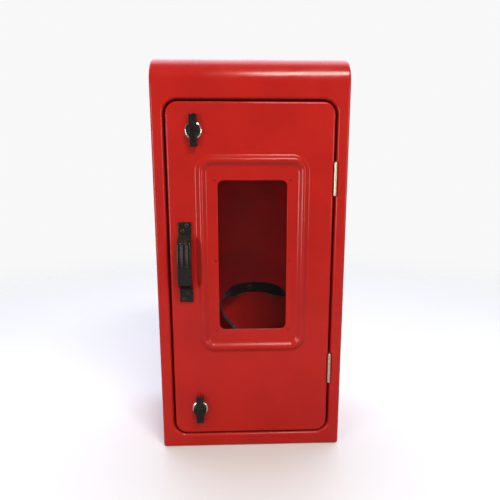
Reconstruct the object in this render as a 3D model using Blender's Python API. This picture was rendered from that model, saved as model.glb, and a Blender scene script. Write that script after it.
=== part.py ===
"""Wall cabinet for fire equipment, moulded in glass-fibre plastic.

The front faces -Y, +X is on the right of somebody who faces it and +Z is up.
The origin is the middle of the underside. All lengths are metres.
"""

from math import cos, pi, radians, sin, sqrt

import bmesh
import bpy
from mathutils import Vector

MM = 0.001
TOUCH = 0.3 * MM            # room between pieces that rest on each other
CUT_SPARE = 2 * MM          # how far a cutter runs past the face it cuts

# Body moulding
CABINET_WIDTH = 380 * MM
CABINET_HEIGHT = 803 * MM
CABINET_DEPTH = 250 * MM
NOSE_RADIUS = 54 * MM       # the roof rolls over into the front
BODY_WALL = 4 * MM
INNER_RADIUS = 1 * MM       # smallest radius inside a laminated corner
LEAST_RADIUS = 0.5 * MM     # no outline corner gets sharper than this
REBATE_DEPTH = 30 * MM      # from the front face to the door stop
STOP_WIDTH = 18 * MM
BACK_FLANGE = 34 * MM
BACK_CORNER = 12 * MM
PANEL_WALL = 4 * MM
PANEL_CORNER = 3 * MM
WALL_HOLE_RADIUS = 4.5 * MM
WALL_HOLE_INSET = 20 * MM

# Door moulding
DOOR_WIDTH = 324.5 * MM
DOOR_HEIGHT = 683 * MM
DOOR_BOTTOM = 33 * MM
DOOR_GAP = 4.5 * MM
DOOR_CORNER = 24 * MM
DOOR_WALL = 4 * MM
DOOR_DEPTH = 22 * MM
GASKET_WIDTH = 11 * MM
GASKET_INSET = 1.8 * MM

# Window and the raised bead round it, placed from the door's centre line and lower edge
WINDOW_WIDTH = 136 * MM
WINDOW_HEIGHT = 303 * MM
WINDOW_CORNER = 12 * MM
WINDOW_SHIFT = 3 * MM
WINDOW_RISE = 385 * MM
WINDOW_LAND = 19.5 * MM     # flat rim between the window and the bead, at the sides
WINDOW_LAND_ENDS = 25.5 * MM
BEAD_WIDTH = 25 * MM
BEAD_HEIGHT = 6.5 * MM
BEAD_CORNER = 35 * MM
PANE_OVERLAP = 13 * MM
PANE_WALL = 4 * MM
SEAL_WALL = 1.5 * MM
WINDOW_RIVET_INSET = 6 * MM
WINDOW_RIVET_RISE = 1.5 * MM
WINDOW_RIVET_DROP = 7 * MM  # the middle pair sits a little below the centre
WINDOW_RIVET_SHANK = 1.6 * MM
WINDOW_RIVET_HEAD = 2.6 * MM
WINDOW_RIVET_HEAD_WALL = 1 * MM
WINDOW_RIVET_TAIL = 2.4 * MM
PANE_CORNER = 6 * MM
SEAL_INSET = 1 * MM         # the seal ends this far back from the window's edge

# Pull handle
HANDLE_INSET = 31.75 * MM
HANDLE_RISE = 375 * MM
HANDLE_LENGTH = 162 * MM
HANDLE_WIDTH = 26 * MM
HANDLE_BULGE = 1 * MM
HANDLE_FOOT = 24 * MM
HANDLE_FOOT_WALL = 4 * MM
HANDLE_SHOULDER = 21 * MM
HANDLE_PROUD = 29 * MM
HANDLE_GRIP_WALL = 9 * MM
HANDLE_RAMP = 17 * MM
HANDLE_GROOVE = 1.2 * MM
HANDLE_SOFT = 1.2 * MM      # chamfer along its long edges
HANDLE_RIVET_SHANK = 2.4 * MM
HANDLE_RIVET_HEAD = 4.2 * MM
HANDLE_RIVET_HEAD_WALL = 1.4 * MM
HANDLE_RIVET_TAIL = 3.2 * MM
HANDLE_RIVET_SPREAD = (4.2 * MM, 5.4 * MM)

# Hinges
HINGE_INSET = 144.5 * MM
HINGE_LENGTH = 63.5 * MM
HINGE_KNUCKLE_RADIUS = 3.2 * MM
HINGE_PIN_RADIUS = 1.4 * MM
HINGE_PIN_HEAD = 2.2 * MM
HINGE_PIN_HEAD_WALL = 1 * MM
HINGE_PROUD = 0.5 * MM
HINGE_LEAF_WALL = 1.3 * MM
HINGE_LEAF_REACH = 20.5 * MM
HINGE_NOTCH_WIDTH = 11.5 * MM
HINGE_NOTCH_DEPTH = 0.75 * BODY_WALL
HINGE_NOTCH_SPARE = 4 * MM
HINGE_NOTCH_RUN = 8 * MM    # the notch is cut in from this far in front
HINGE_KNUCKLES = 5
HINGE_RIVETS = 3
HINGE_RIVET_BACK = 2.2 * MM     # the middle rivet sits this far behind the leaf's middle
HINGE_RIVET_FORWARD = 1.2 * MM  # and the others this far in front of it
HINGE_RIVET_SHANK = 1.5 * MM
HINGE_RIVET_HEAD = 2.8 * MM
HINGE_RIVET_SINK = 1 * MM
HINGE_RIVET_TAIL = 3 * MM

# Quarter-turn latches
LATCH_INSET = 53.25 * MM
LATCH_TOP_INSET = 53.5 * MM
LATCH_BOTTOM_INSET = 58 * MM
LATCH_FLANGE_RADIUS = 16.8 * MM
LATCH_FLANGE_WALL = 3.6 * MM
LATCH_FLANGE_BEVEL = 3 * MM
LATCH_BARREL_RADIUS = 10 * MM
LATCH_BORE_RADIUS = 6 * MM
LATCH_BOSS_RADIUS = 13.6 * MM
LATCH_BOSS_HEIGHT = 9 * MM
LATCH_BOSS_SOFT = 0.6 * MM
LATCH_BOSS_STEP = 0.5 * MM  # a smaller disc stands up from the boss by this much
LATCH_DISC_RADIUS = 8.4 * MM
LATCH_WING_LENGTH = 60 * MM
LATCH_WING_WIDTH = 16.4 * MM
LATCH_WING_WALL = 5 * MM
LATCH_WING_FALL = 2.6 * MM
LATCH_WING_TAPER = 0.9 * MM
LATCH_WING_LIFT = 1 * MM    # the wings stand clear of the chrome flange
LATCH_WING_SOFT = 1.1 * MM
SPINDLE_SIDE = 8 * MM
SPINDLE_ROOT = 3 * MM       # how far it runs into the boss
NUT_ACROSS_FLATS = 26 * MM
NUT_WALL = 6 * MM
CAM_WALL = 2.5 * MM
CAM_WIDTH = 18 * MM
CAM_OVERLAP = 12 * MM       # how far the turned cam reaches behind the stop
CAM_CLEARANCE = 0.8 * MM
CAM_SCREW_RADIUS = 2 * MM
CAM_SCREW_LENGTH = 8 * MM
CAM_SCREW_HEAD = 7 * MM
CAM_SCREW_HEAD_WALL = 3.5 * MM
CAM_SCREW_FLANGE_WALL = 1 * MM
CAM_SCREW_HEX = (4.6 * MM, 4.2 * MM)  # radius of the driven part, at its root and its end

# Retaining strap, hung from one screw in the back panel
STRAP_WIDTH = 28 * MM
STRAP_WALL = 2.4 * MM
STRAP_SCREW_X = 5 * MM
STRAP_SCREW_Z = 292 * MM
STRAP_CENTRE_X = 18 * MM    # the loop hangs a little to the right of its screw
STRAP_HALF_WIDTH = 76 * MM
STRAP_FULLNESS = 76 * MM    # wider above, narrow below
STRAP_HALF_HEIGHT = 98 * MM
STRAP_SWAY = 25 * MM
STRAP_FLAT_SPAN = 0.18      # radians of the loop, each way from the top, that lie flat on the panel
STRAP_TWIST_SPAN = 0.55     # radians over which the strap then turns edge-on
STRAP_TAIL = 44 * MM
STRAP_JOIN = 6 * MM         # straight run between the loop and its tails
STRAP_MEETING = 1.12        # how much sooner than touching the two sides turn into tails
STRAP_TAIL_GAP = 0.6 * MM
STRAP_SCREW_SHANK = 2.4 * MM
STRAP_SCREW_HEAD = 4.6 * MM
STRAP_SCREW_HEAD_WALL = 2.4 * MM
WASHER_RADIUS = 8 * MM
WASHER_WALL = 1.2 * MM
STRAP_SCREW_TAIL = 2.8 * MM
KEEPER_WALL = 2.5 * MM
KEEPER_HEIGHT = 14 * MM
KEEPER_RISE = 0.35          # share of the tail below it
KEEPER_SLOT_CORNER = 0.5 * MM
KEEPER_CORNER = 1.6 * MM

# How finely curves are divided
CORNER_STEPS = 5
EDGE_STEPS = 3
NOSE_STEPS = 9
BEAD_STEPS = 8
ROUND_STEPS = 24
SMALL_STEPS = 10
KNUCKLE_STEPS = 14
SMALL_CORNER_STEPS = 2
STRAP_STEPS = 44

# A corner radius as a share of the width, for ends that are all but half round
HALF_ROUND = 0.49

# Places worked out from the sizes above
FRONT = -CABINET_DEPTH / 2
BACK = CABINET_DEPTH / 2
BODY_EDGE = BODY_WALL + INNER_RADIUS
DOOR_EDGE = DOOR_WALL + INNER_RADIUS / 2
DOOR_CENTRE_Z = DOOR_BOTTOM + DOOR_HEIGHT / 2
OPENING_WIDTH = DOOR_WIDTH + 2 * DOOR_GAP
OPENING_HEIGHT = DOOR_HEIGHT + 2 * DOOR_GAP
OPENING_CORNER = DOOR_CORNER + DOOR_GAP
HINGE_X = DOOR_WIDTH / 2 + DOOR_GAP / 2
HINGE_Y = FRONT - HINGE_PROUD
HANDLE_X = HANDLE_INSET - DOOR_WIDTH / 2
LATCH_X = LATCH_INSET - DOOR_WIDTH / 2
CAM_REACH = OPENING_WIDTH / 2 - STOP_WIDTH + LATCH_X + CAM_OVERLAP
CAM_FRONT = REBATE_DEPTH + BODY_WALL + CAM_CLEARANCE
CAM_BACK = CAM_FRONT + CAM_WALL
WINDOW_CENTRE = (WINDOW_SHIFT, DOOR_BOTTOM + WINDOW_RISE - DOOR_CENTRE_Z)
PANEL_FRONT = BACK - BODY_WALL - TOUCH - PANEL_WALL
STRAP_STANDOFF = STRAP_WIDTH / 2 + TOUCH + KEEPER_WALL

# Turns a piece built along its own +Z so that this side looks out of the front
FACING_FRONT = (radians(90), 0, 0)
FACING_LEFT = (0, radians(-90), 0)
FACING_RIGHT = (0, radians(90), 0)


# ---------------------------------------------------------------- outlines

def circle(radius, steps=ROUND_STEPS):
    """Points of a circle, counter-clockwise, set half a step off the axes."""
    angles = [2 * pi * (i + 0.5) / steps for i in range(steps)]
    return [(radius * cos(angle), radius * sin(angle)) for angle in angles]


def rounded_rectangle(width, height, radius, centre=(0, 0), steps=CORNER_STEPS):
    """Points of a rectangle with round corners, counter-clockwise from the right side."""
    radius = max(radius, LEAST_RADIUS)
    points = []
    for quarter, (side, end) in enumerate(((1, 1), (-1, 1), (-1, -1), (1, -1))):
        for step in range(steps + 1):
            angle = radians(90) * (quarter + step / steps)
            points.append((centre[0] + side * (width / 2 - radius) + radius * cos(angle),
                           centre[1] + end * (height / 2 - radius) + radius * sin(angle)))
    return points


def at_depth(outline, depth):
    """An outline seen from the front, set at one depth."""
    return [(x, depth, z) for x, z in outline]


def at_height(outline, height):
    return [(x, y, height) for x, y in outline]


def frame_outline(width, height, corner, growth, centre=(0, 0)):
    """A rounded rectangle grown by the same amount all round, or shrunk if that's negative."""
    return rounded_rectangle(width + 2 * growth, height + 2 * growth, corner + growth, centre)


# ---------------------------------------------------------------- meshes

def bands(bm, rings, looped=False):
    """Adds rings of as many points each, joined by bands of quads, and gives back their vertices."""
    verts = [[bm.verts.new(point) for point in ring] for ring in rings]
    pairs = list(zip(verts, verts[1:]))
    if looped:
        pairs.append((verts[-1], verts[0]))
    for near, far in pairs:
        for i in range(len(near)):
            j = (i + 1) % len(near)
            bm.faces.new((near[i], near[j], far[j], far[i]))
    return verts


def loft(rings, looped=False, bm=None):
    """A closed solid through rings: capped at both ends, or looped back to the first ring."""
    bm = bm or bmesh.new()
    verts = bands(bm, rings, looped)
    if not looped:
        bm.faces.new(reversed(verts[0]))
        bm.faces.new(verts[-1])
    bmesh.ops.recalc_face_normals(bm, faces=bm.faces)
    return bm


def open_skin(rings):
    """A sheet through rings whose edges stay open, for a moulding that gets its wall later."""
    bm = bmesh.new()
    bands(bm, rings)
    return bm


def prism(outline, low, high):
    return loft([at_height(outline, low), at_height(outline, high)])


def turned(profile, steps=ROUND_STEPS):
    """A solid of revolution round Z; profile lists radius and height from one capped end to the other."""
    return loft([at_height(circle(radius, steps), height) for radius, height in profile])


def turned_ring(profile, steps=ROUND_STEPS):
    """A solid of revolution with a hole, whose profile is a closed loop."""
    return loft([at_height(circle(radius, steps), height) for radius, height in profile], looped=True)


def block(low, high):
    """A box between two corners."""
    (x0, y0, z0), (x1, y1, z1) = low, high
    return prism([(x0, y0), (x1, y0), (x1, y1), (x0, y1)], z0, z1)


def drill(radius, low, high, places, steps=SMALL_STEPS):
    """Parallel cylinders along Z, used to cut holes."""
    bm = bmesh.new()
    for x, y in places:
        moved = [(x + px, y + py) for px, py in circle(radius, steps)]
        loft([at_height(moved, low), at_height(moved, high)], bm=bm)
    return bm


# ---------------------------------------------------------------- scene

def clear_scene():
    for old in list(bpy.data.objects):
        bpy.data.objects.remove(old, do_unlink=True)


def finish(name, colour, roughness, metallic=0.0, alpha=1.0):
    """A Principled material."""
    material = bpy.data.materials.new(name)
    material.use_nodes = True
    shader = material.node_tree.nodes["Principled BSDF"]
    shader.inputs["Base Color"].default_value = (*colour, 1)
    shader.inputs["Roughness"].default_value = roughness
    shader.inputs["Metallic"].default_value = metallic
    shader.inputs["Alpha"].default_value = alpha
    return material


def pivot(name, place, parent=None):
    """An empty on a joint's axis."""
    empty = bpy.data.objects.new(name, None)
    empty.empty_display_size = NOSE_RADIUS
    bpy.context.scene.collection.objects.link(empty)
    attach(empty, place, parent)
    return empty


def world_place(item):
    """Where an unturned chain of parents puts an object."""
    place = Vector(item.location)
    while item.parent:
        item = item.parent
        place += item.location
    return place


def attach(item, place, parent):
    item.parent = parent
    item.location = Vector(place) - (world_place(parent) if parent else Vector())


def add(name, bm, material=None, place=(0, 0, 0), turn=(0, 0, 0), parent=None, smooth=35):
    """Puts a mesh into the scene as a named object."""
    mesh = bpy.data.meshes.new(name)
    bm.to_mesh(mesh)
    bm.free()
    mesh.shade_smooth()
    mesh.set_sharp_from_angle(angle=radians(smooth))
    item = bpy.data.objects.new(name, mesh)
    bpy.context.scene.collection.objects.link(item)
    if material:
        mesh.materials.append(material)
    item.rotation_euler = turn
    attach(item, place, parent)
    return item


def tool(name, bm, place=(0, 0, 0), turn=(0, 0, 0), parent=None):
    """A hidden shape for a Boolean."""
    item = add(name, bm, place=place, turn=turn, parent=parent)
    item.hide_render = True
    item.display_type = "WIRE"
    return item


def combine(target, shape, operation="DIFFERENCE"):
    modifier = target.modifiers.new(shape.name, "BOOLEAN")
    modifier.operation = operation
    modifier.solver = "EXACT"
    modifier.object = shape


def laminate(target, wall):
    """Gives a moulded skin its wall, inwards from the gel-coated side."""
    modifier = target.modifiers.new("wall", "SOLIDIFY")
    modifier.thickness = wall
    modifier.offset = -1
    modifier.use_even_offset = True
    modifier.use_quality_normals = True


# ---------------------------------------------------------------- fasteners

def rivet_tail(shank, grip, tail):
    """The end of a blind rivet: its shank swells behind the last sheet."""
    behind = -grip - TOUCH
    return [(shank, behind), (1.5 * shank, behind - 0.4 * tail), (0.8 * shank, behind - tail)]


def rivet_profile(head, shank, grip, head_wall, tail):
    """Blind rivet along Z: a domed head with the mandrel's hole in it, a shank and its tail."""
    hole = 0.45 * shank
    rim = TOUCH + 0.3 * head_wall
    top = TOUCH + head_wall
    return [(hole, rim), (hole, top), (0.62 * head, top), (head, rim), (head, TOUCH),
            (shank, TOUCH)] + rivet_tail(shank, grip, tail)


def sunk_rivet_profile(grip):
    """Rivet whose head lies flush in a countersunk hole."""
    hole = 0.45 * HINGE_RIVET_SHANK
    return [(hole, -0.7 * HINGE_RIVET_SINK), (hole, 0), (HINGE_RIVET_HEAD, 0),
            (HINGE_RIVET_SHANK, -HINGE_RIVET_SINK)] + rivet_tail(HINGE_RIVET_SHANK, grip, HINGE_RIVET_TAIL)


# ---------------------------------------------------------------- body

def moulded_box():
    """The gel-coated outside of the body: a box whose roof rolls into the front."""
    bm = bmesh.new()
    bmesh.ops.create_cube(bm, size=1)
    bmesh.ops.scale(bm, vec=(CABINET_WIDTH, CABINET_DEPTH, CABINET_HEIGHT), verts=bm.verts)
    bmesh.ops.translate(bm, vec=(0, 0, CABINET_HEIGHT / 2), verts=bm.verts)
    nose = [e for e in bm.edges if all(v.co.y < 0 and v.co.z > 0 for v in e.verts)]
    bmesh.ops.bevel(bm, geom=nose, offset=NOSE_RADIUS, segments=NOSE_STEPS, profile=0.5, affect="EDGES")
    sharp = [e for e in bm.edges if e.calc_face_angle() > radians(45)]
    bmesh.ops.bevel(bm, geom=sharp, offset=BODY_EDGE, segments=EDGE_STEPS, profile=0.5, affect="EDGES")
    bm.normal_update()
    return bm


def pierce(bm, direction, rings):
    """Opens the flat face that looks along Y in this direction, and carries its rim through the rings."""
    flat = [f for f in bm.faces if f.normal.y * direction > 0.999]
    face = max(flat, key=lambda f: f.calc_area())
    rim = list(face.edges)
    bmesh.ops.delete(bm, geom=[face], context="FACES_ONLY")
    first = bands(bm, rings)[0]
    around = zip(first, first[1:] + first[:1])
    hole = [bm.edges.get(pair) or bm.edges.new(pair) for pair in around]
    bmesh.ops.triangle_fill(bm, edges=rim + hole, use_beauty=True, normal=(0, direction, 0))


def opening_rings():
    """The door opening: a rolled edge, the wall of the rebate, and the stop that the gasket lies on."""
    centre = (0, DOOR_CENTRE_Z)
    rings = []
    for step in range(EDGE_STEPS + 1):
        angle = radians(90) * step / EDGE_STEPS
        growth = BODY_EDGE * (1 - sin(angle))
        outline = frame_outline(OPENING_WIDTH, OPENING_HEIGHT, OPENING_CORNER, growth, centre)
        rings.append(at_depth(outline, FRONT + BODY_EDGE * (1 - cos(angle))))
    stop = FRONT + REBATE_DEPTH
    for growth in (0, -STOP_WIDTH):
        outline = frame_outline(OPENING_WIDTH, OPENING_HEIGHT, OPENING_CORNER, growth, centre)
        rings.append(at_depth(outline, stop))
    return rings


def wall_hole_places():
    """Four bolt holes through the back flange, near the corners."""
    across = CABINET_WIDTH / 2 - WALL_HOLE_INSET
    return [(x, z) for x in (-across, across) for z in (WALL_HOLE_INSET, CABINET_HEIGHT - WALL_HOLE_INSET)]


def build_body(gelcoat, inside, rubber):
    """The body moulding, the panel bonded across its back, and the gasket on the door stop."""
    bm = moulded_box()
    pierce(bm, -1, opening_rings())
    middle = (0, CABINET_HEIGHT / 2)
    back = frame_outline(CABINET_WIDTH, CABINET_HEIGHT, BACK_CORNER + BACK_FLANGE, -BACK_FLANGE, middle)
    pierce(bm, 1, [at_depth(back, BACK)])
    shell = add("body_shell", bm, gelcoat)
    laminate(shell, BODY_WALL)

    inset = BODY_EDGE + TOUCH
    outline = rounded_rectangle(CABINET_WIDTH - 2 * inset, CABINET_HEIGHT - 2 * inset, PANEL_CORNER,
                                middle, SMALL_CORNER_STEPS)
    sheet = [at_depth(outline, PANEL_FRONT), at_depth(outline, PANEL_FRONT + PANEL_WALL)]
    panel = add("back_panel", loft(sheet), inside)

    front = FRONT + DOOR_DEPTH + TOUCH
    rear = FRONT + REBATE_DEPTH - TOUCH
    centre = (0, DOOR_CENTRE_Z)
    outer = frame_outline(OPENING_WIDTH, OPENING_HEIGHT, OPENING_CORNER, -GASKET_INSET, centre)
    inner = frame_outline(OPENING_WIDTH, OPENING_HEIGHT, OPENING_CORNER, -GASKET_INSET - GASKET_WIDTH,
                          centre)
    rings = [at_depth(outer, front), at_depth(inner, front), at_depth(inner, rear), at_depth(outer, rear)]
    add("door_gasket", loft(rings, looped=True), rubber)
    return shell, panel


def drill_wall_holes(*pieces):
    """Cuts the bolt holes. They come after the other cuts, which could lose the slivers round their rims."""
    reach = BODY_WALL + PANEL_WALL + CUT_SPARE
    places = [(x, -z) for x, z in wall_hole_places()]
    holes = drill(WALL_HOLE_RADIUS, -reach, CUT_SPARE, places, ROUND_STEPS)
    holes = tool("wall_bolt_holes", holes, (0, BACK, 0), (radians(-90), 0, 0))
    for piece in pieces:
        combine(piece, holes)


# ---------------------------------------------------------------- door

def door_rings():
    """The door's gel-coated side, from the back of its return to the edge of the window."""
    rings = [at_depth(frame_outline(DOOR_WIDTH, DOOR_HEIGHT, DOOR_CORNER, 0), DOOR_DEPTH)]
    for step in range(EDGE_STEPS + 1):
        angle = radians(90) * step / EDGE_STEPS
        outline = frame_outline(DOOR_WIDTH, DOOR_HEIGHT, DOOR_CORNER, DOOR_EDGE * (cos(angle) - 1))
        rings.append(at_depth(outline, DOOR_EDGE * (1 - sin(angle))))
    bead_width = WINDOW_WIDTH + 2 * (WINDOW_LAND + BEAD_WIDTH)
    bead_height = WINDOW_HEIGHT + 2 * (WINDOW_LAND_ENDS + BEAD_WIDTH)
    for step in range(BEAD_STEPS + 1):
        share = step / BEAD_STEPS
        outline = frame_outline(bead_width, bead_height, BEAD_CORNER, -share * BEAD_WIDTH, WINDOW_CENTRE)
        rings.append(at_depth(outline, -BEAD_HEIGHT * sin(pi * share) ** 2))
    window = rounded_rectangle(WINDOW_WIDTH, WINDOW_HEIGHT, WINDOW_CORNER, WINDOW_CENTRE)
    rings.append(at_depth(window, 0))
    return rings


def window_rivet_places():
    across = WINDOW_WIDTH / 2 + WINDOW_RIVET_INSET
    up = WINDOW_HEIGHT / 2 + WINDOW_RIVET_RISE
    rows = (("top", up), ("middle", -WINDOW_RIVET_DROP), ("bottom", -up))
    return [(f"window_rivet_{row}_{side}", x, z)
            for row, z in rows for side, x in (("left", -across), ("right", across))]


def build_door(axis, gelcoat, acrylic, rubber, paint):
    """The door moulding with its window pane, the seal in front of the pane and six rivets."""
    skin = add("door_skin", open_skin(door_rings()), gelcoat, (0, FRONT, DOOR_CENTRE_Z), parent=axis)
    laminate(skin, DOOR_WALL)

    middle = (WINDOW_CENTRE[0], FRONT + DOOR_WALL, DOOR_CENTRE_Z + WINDOW_CENTRE[1])
    pane_outline = rounded_rectangle(WINDOW_WIDTH + 2 * PANE_OVERLAP, WINDOW_HEIGHT + 2 * PANE_OVERLAP,
                                     PANE_CORNER)
    window_outline = frame_outline(WINDOW_WIDTH, WINDOW_HEIGHT, WINDOW_CORNER, SEAL_INSET)
    depth = TOUCH
    rings = [at_depth(outline, y) for outline, y in
             ((pane_outline, depth), (window_outline, depth),
              (window_outline, depth + SEAL_WALL), (pane_outline, depth + SEAL_WALL))]
    seal = add("window_seal", loft(rings, looped=True), rubber, middle, parent=axis)
    depth += SEAL_WALL + TOUCH
    rings = [at_depth(pane_outline, depth), at_depth(pane_outline, depth + PANE_WALL)]
    pane = add("window_pane", loft(rings), acrylic, middle, parent=axis)
    depth += PANE_WALL

    face = (middle[0], FRONT, middle[2])
    places = window_rivet_places()
    reach = DOOR_WALL + depth + CUT_SPARE
    holes = drill(WINDOW_RIVET_SHANK + TOUCH, -reach, CUT_SPARE, [(x, z) for _, x, z in places])
    holes = tool("window_rivet_holes", holes, face, FACING_FRONT, axis)
    for piece in (skin, seal, pane):
        combine(piece, holes)
    profile = rivet_profile(WINDOW_RIVET_HEAD, WINDOW_RIVET_SHANK, DOOR_WALL + depth,
                            WINDOW_RIVET_HEAD_WALL, WINDOW_RIVET_TAIL)
    for name, x, z in places:
        place = (face[0] + x, FRONT, face[2] + z)
        add(name, turned(profile, SMALL_STEPS), paint, place, FACING_FRONT, axis)
    return skin


# ---------------------------------------------------------------- pull handle

def handle_section(y):
    """Inner height, outer height, half width and groove depth of the handle at y along it."""
    foot_end = HANDLE_LENGTH / 2 - HANDLE_FOOT
    away = abs(y)
    ramp = min(max((foot_end - away) / HANDLE_RAMP, 0), 1)
    ramp = ramp * ramp * (3 - 2 * ramp)
    crown = max(1 - (away / (foot_end - HANDLE_RAMP / 2)) ** 2, 0)
    outer = HANDLE_FOOT_WALL + (HANDLE_SHOULDER - HANDLE_FOOT_WALL) * ramp
    outer += (HANDLE_PROUD - HANDLE_SHOULDER) * crown
    inner = max(outer - HANDLE_FOOT_WALL - (HANDLE_GRIP_WALL - HANDLE_FOOT_WALL) * ramp, 0)
    half = HANDLE_WIDTH / 2 + HANDLE_BULGE * ramp
    groove = HANDLE_GROOVE * ramp
    return inner, outer, half, groove


def handle_ring(y):
    """The cross-section's points: a flat back, chamfered sides and two grooves along the outside."""
    inner, outer, half, groove = handle_section(y)
    inner, outer = TOUCH + inner, TOUCH + outer
    third = half / 3
    one_side = [(half - HANDLE_SOFT, inner), (half, inner + HANDLE_SOFT), (half, outer - HANDLE_SOFT),
                (half - HANDLE_SOFT, outer), (third * 1.5, outer), (third, outer - groove),
                (third * 0.5, outer)]
    return [(x, y, z) for x, z in one_side] + [(-x, y, z) for x, z in reversed(one_side)]


def build_handle(axis, skin, plastic, rivet_finish):
    """The pull handle and its four blind rivets, two through each foot."""
    face = (HANDLE_X, FRONT, DOOR_BOTTOM + HANDLE_RISE)
    end = HANDLE_LENGTH / 2
    foot_end = end - HANDLE_FOOT
    ramp = [foot_end - HANDLE_RAMP * share for share in (0, 0.2, 0.4, 0.6, 0.8, 1)]
    half = [end] + ramp + [(foot_end - HANDLE_RAMP) * share for share in (0.67, 0.33)]
    stations = half + [0] + [-y for y in reversed(half)]
    handle = add("pull_handle", loft([handle_ring(y) for y in stations]), plastic, face, FACING_FRONT, axis)

    across, along = HANDLE_RIVET_SPREAD
    middle = end - HANDLE_FOOT / 2
    places = []
    for foot, centre in (("upper", middle), ("lower", -middle)):
        for side, sign in (("outer", -1), ("inner", 1)):
            places.append((f"handle_rivet_{foot}_{side}", sign * across, centre + sign * along))
    spots = [(x, y) for _, x, y in places]
    holes = drill(HANDLE_RIVET_SHANK + TOUCH, -DOOR_WALL - CUT_SPARE, HANDLE_FOOT_WALL + CUT_SPARE, spots)
    holes = tool("handle_rivet_holes", holes, face, FACING_FRONT, axis)
    combine(handle, holes)
    combine(skin, holes)
    lift = HANDLE_FOOT_WALL + TOUCH
    profile = rivet_profile(HANDLE_RIVET_HEAD, HANDLE_RIVET_SHANK, DOOR_WALL + lift,
                            HANDLE_RIVET_HEAD_WALL, HANDLE_RIVET_TAIL)
    for name, x, y in places:
        place = (face[0] + x, FRONT - lift, face[2] + y)
        add(name, turned(profile, SMALL_STEPS), rivet_finish, place, FACING_FRONT, axis)


# ---------------------------------------------------------------- hinges

def knuckle_spans(odd):
    """The heights of every second knuckle, counted from the lower end."""
    length = HINGE_LENGTH / HINGE_KNUCKLES
    spans = []
    for number in range(HINGE_KNUCKLES):
        if (number % 2 == 0) == odd:
            low = -HINGE_LENGTH / 2 + number * length
            high = low + length
            if number > 0:
                low += TOUCH / 2
            if number < HINGE_KNUCKLES - 1:
                high -= TOUCH / 2
            spans.append((low, high))
    return spans


def build_leaf(name, side, odd, place, parent, steel):
    """A leaf on one side of the axis (+1 right, -1 left) with its knuckles, bored for the pin."""
    near = side * (DOOR_GAP / 2 - TOUCH)
    far = near - side * HINGE_LEAF_WALL
    left, right = min(near, far), max(near, far)
    clear = HINGE_KNUCKLE_RADIUS + 1.2 * TOUCH
    start = sqrt(clear ** 2 - min(abs(near), abs(far)) ** 2)
    plate = block((left, start, -HINGE_LENGTH / 2), (right, HINGE_LEAF_REACH, HINGE_LENGTH / 2))
    leaf = add(name, plate, steel, place, parent=parent)
    tie = HINGE_PIN_RADIUS + TOUCH
    for number, (low, high) in enumerate(knuckle_spans(odd)):
        knuckle = prism(circle(HINGE_KNUCKLE_RADIUS, KNUCKLE_STEPS), low, high)
        combine(leaf, tool(f"{name}_knuckle_{number}", knuckle, place, parent=parent), "UNION")
        ear = block((left, tie, low), (right, start + HINGE_LEAF_WALL, high))
        combine(leaf, tool(f"{name}_ear_{number}", ear, place, parent=parent), "UNION")
    bore = prism(circle(HINGE_PIN_RADIUS + TOUCH, KNUCKLE_STEPS), -HINGE_LENGTH, HINGE_LENGTH)
    combine(leaf, tool(f"{name}_bore", bore, place, parent=parent))
    return leaf


def hinge_rivet_places():
    """Rivet places on a leaf as depth and height, the middle one further back."""
    middle = (HINGE_LEAF_REACH + HINGE_KNUCKLE_RADIUS) / 2
    step = HINGE_LENGTH / HINGE_RIVETS
    return [(middle + (HINGE_RIVET_BACK if number % 2 else -HINGE_RIVET_FORWARD),
             (number - (HINGE_RIVETS - 1) / 2) * step) for number in range(HINGE_RIVETS)]


def fix_leaf(name, leaf, side, place, parent, wall, shell, steel):
    """Countersinks a leaf, drills the moulding behind it and puts the rivets in."""
    turn = FACING_LEFT if side > 0 else FACING_RIGHT
    open_face = side * (DOOR_GAP / 2 - TOUCH - HINGE_LEAF_WALL)
    grip = HINGE_LEAF_WALL + TOUCH + wall
    for number, (depth, height) in enumerate(hinge_rivet_places(), start=1):
        spot = (place[0] + open_face, place[1] + depth, place[2] + height)
        hole = HINGE_RIVET_SHANK + TOUCH
        sink = turned([(HINGE_RIVET_HEAD + 2 * TOUCH, TOUCH), (hole, -HINGE_RIVET_SINK),
                       (hole, -grip - CUT_SPARE / 2)], SMALL_STEPS)
        cutter = tool(f"{name}_hole_{number}", sink, spot, turn, parent)
        combine(leaf, cutter)
        combine(shell, cutter)
        rivet = turned(sunk_rivet_profile(grip), SMALL_STEPS)
        add(f"{name}_rivet_{number}", rivet, steel, spot, turn, parent)


def build_hinge(name, height, axis, shell, skin, steel):
    """One butt hinge: the notch for its knuckles, two leaves with their rivets, and the pin."""
    place = (HINGE_X, HINGE_Y, height)
    length = HINGE_LENGTH + 2 * HINGE_NOTCH_SPARE
    notch = rounded_rectangle(HINGE_NOTCH_WIDTH, length, HALF_ROUND * HINGE_NOTCH_WIDTH)
    notch = loft([at_depth(notch, -HINGE_NOTCH_RUN), at_depth(notch, HINGE_PROUD + HINGE_NOTCH_DEPTH)])
    notch = tool(f"{name}_notch", notch, place)
    combine(shell, notch)
    combine(skin, notch)

    frame_leaf = build_leaf(f"{name}_frame_leaf", 1, True, place, None, steel)
    door_leaf = build_leaf(f"{name}_door_leaf", -1, False, place, axis, steel)
    fix_leaf(f"{name}_frame", frame_leaf, 1, place, None, BODY_WALL, shell, steel)
    fix_leaf(f"{name}_door", door_leaf, -1, place, axis, DOOR_WALL, skin, steel)

    reach = HINGE_LENGTH / 2 + TOUCH
    pin = [(0.6 * HINGE_PIN_HEAD, reach + HINGE_PIN_HEAD_WALL),
           (HINGE_PIN_HEAD, reach + 0.6 * HINGE_PIN_HEAD_WALL), (HINGE_PIN_HEAD, reach),
           (HINGE_PIN_RADIUS, reach)]
    pin += [(radius, -z) for radius, z in reversed(pin)]
    add(f"{name}_pin", turned(pin, KNUCKLE_STEPS), steel, place)


# ---------------------------------------------------------------- latches

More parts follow.
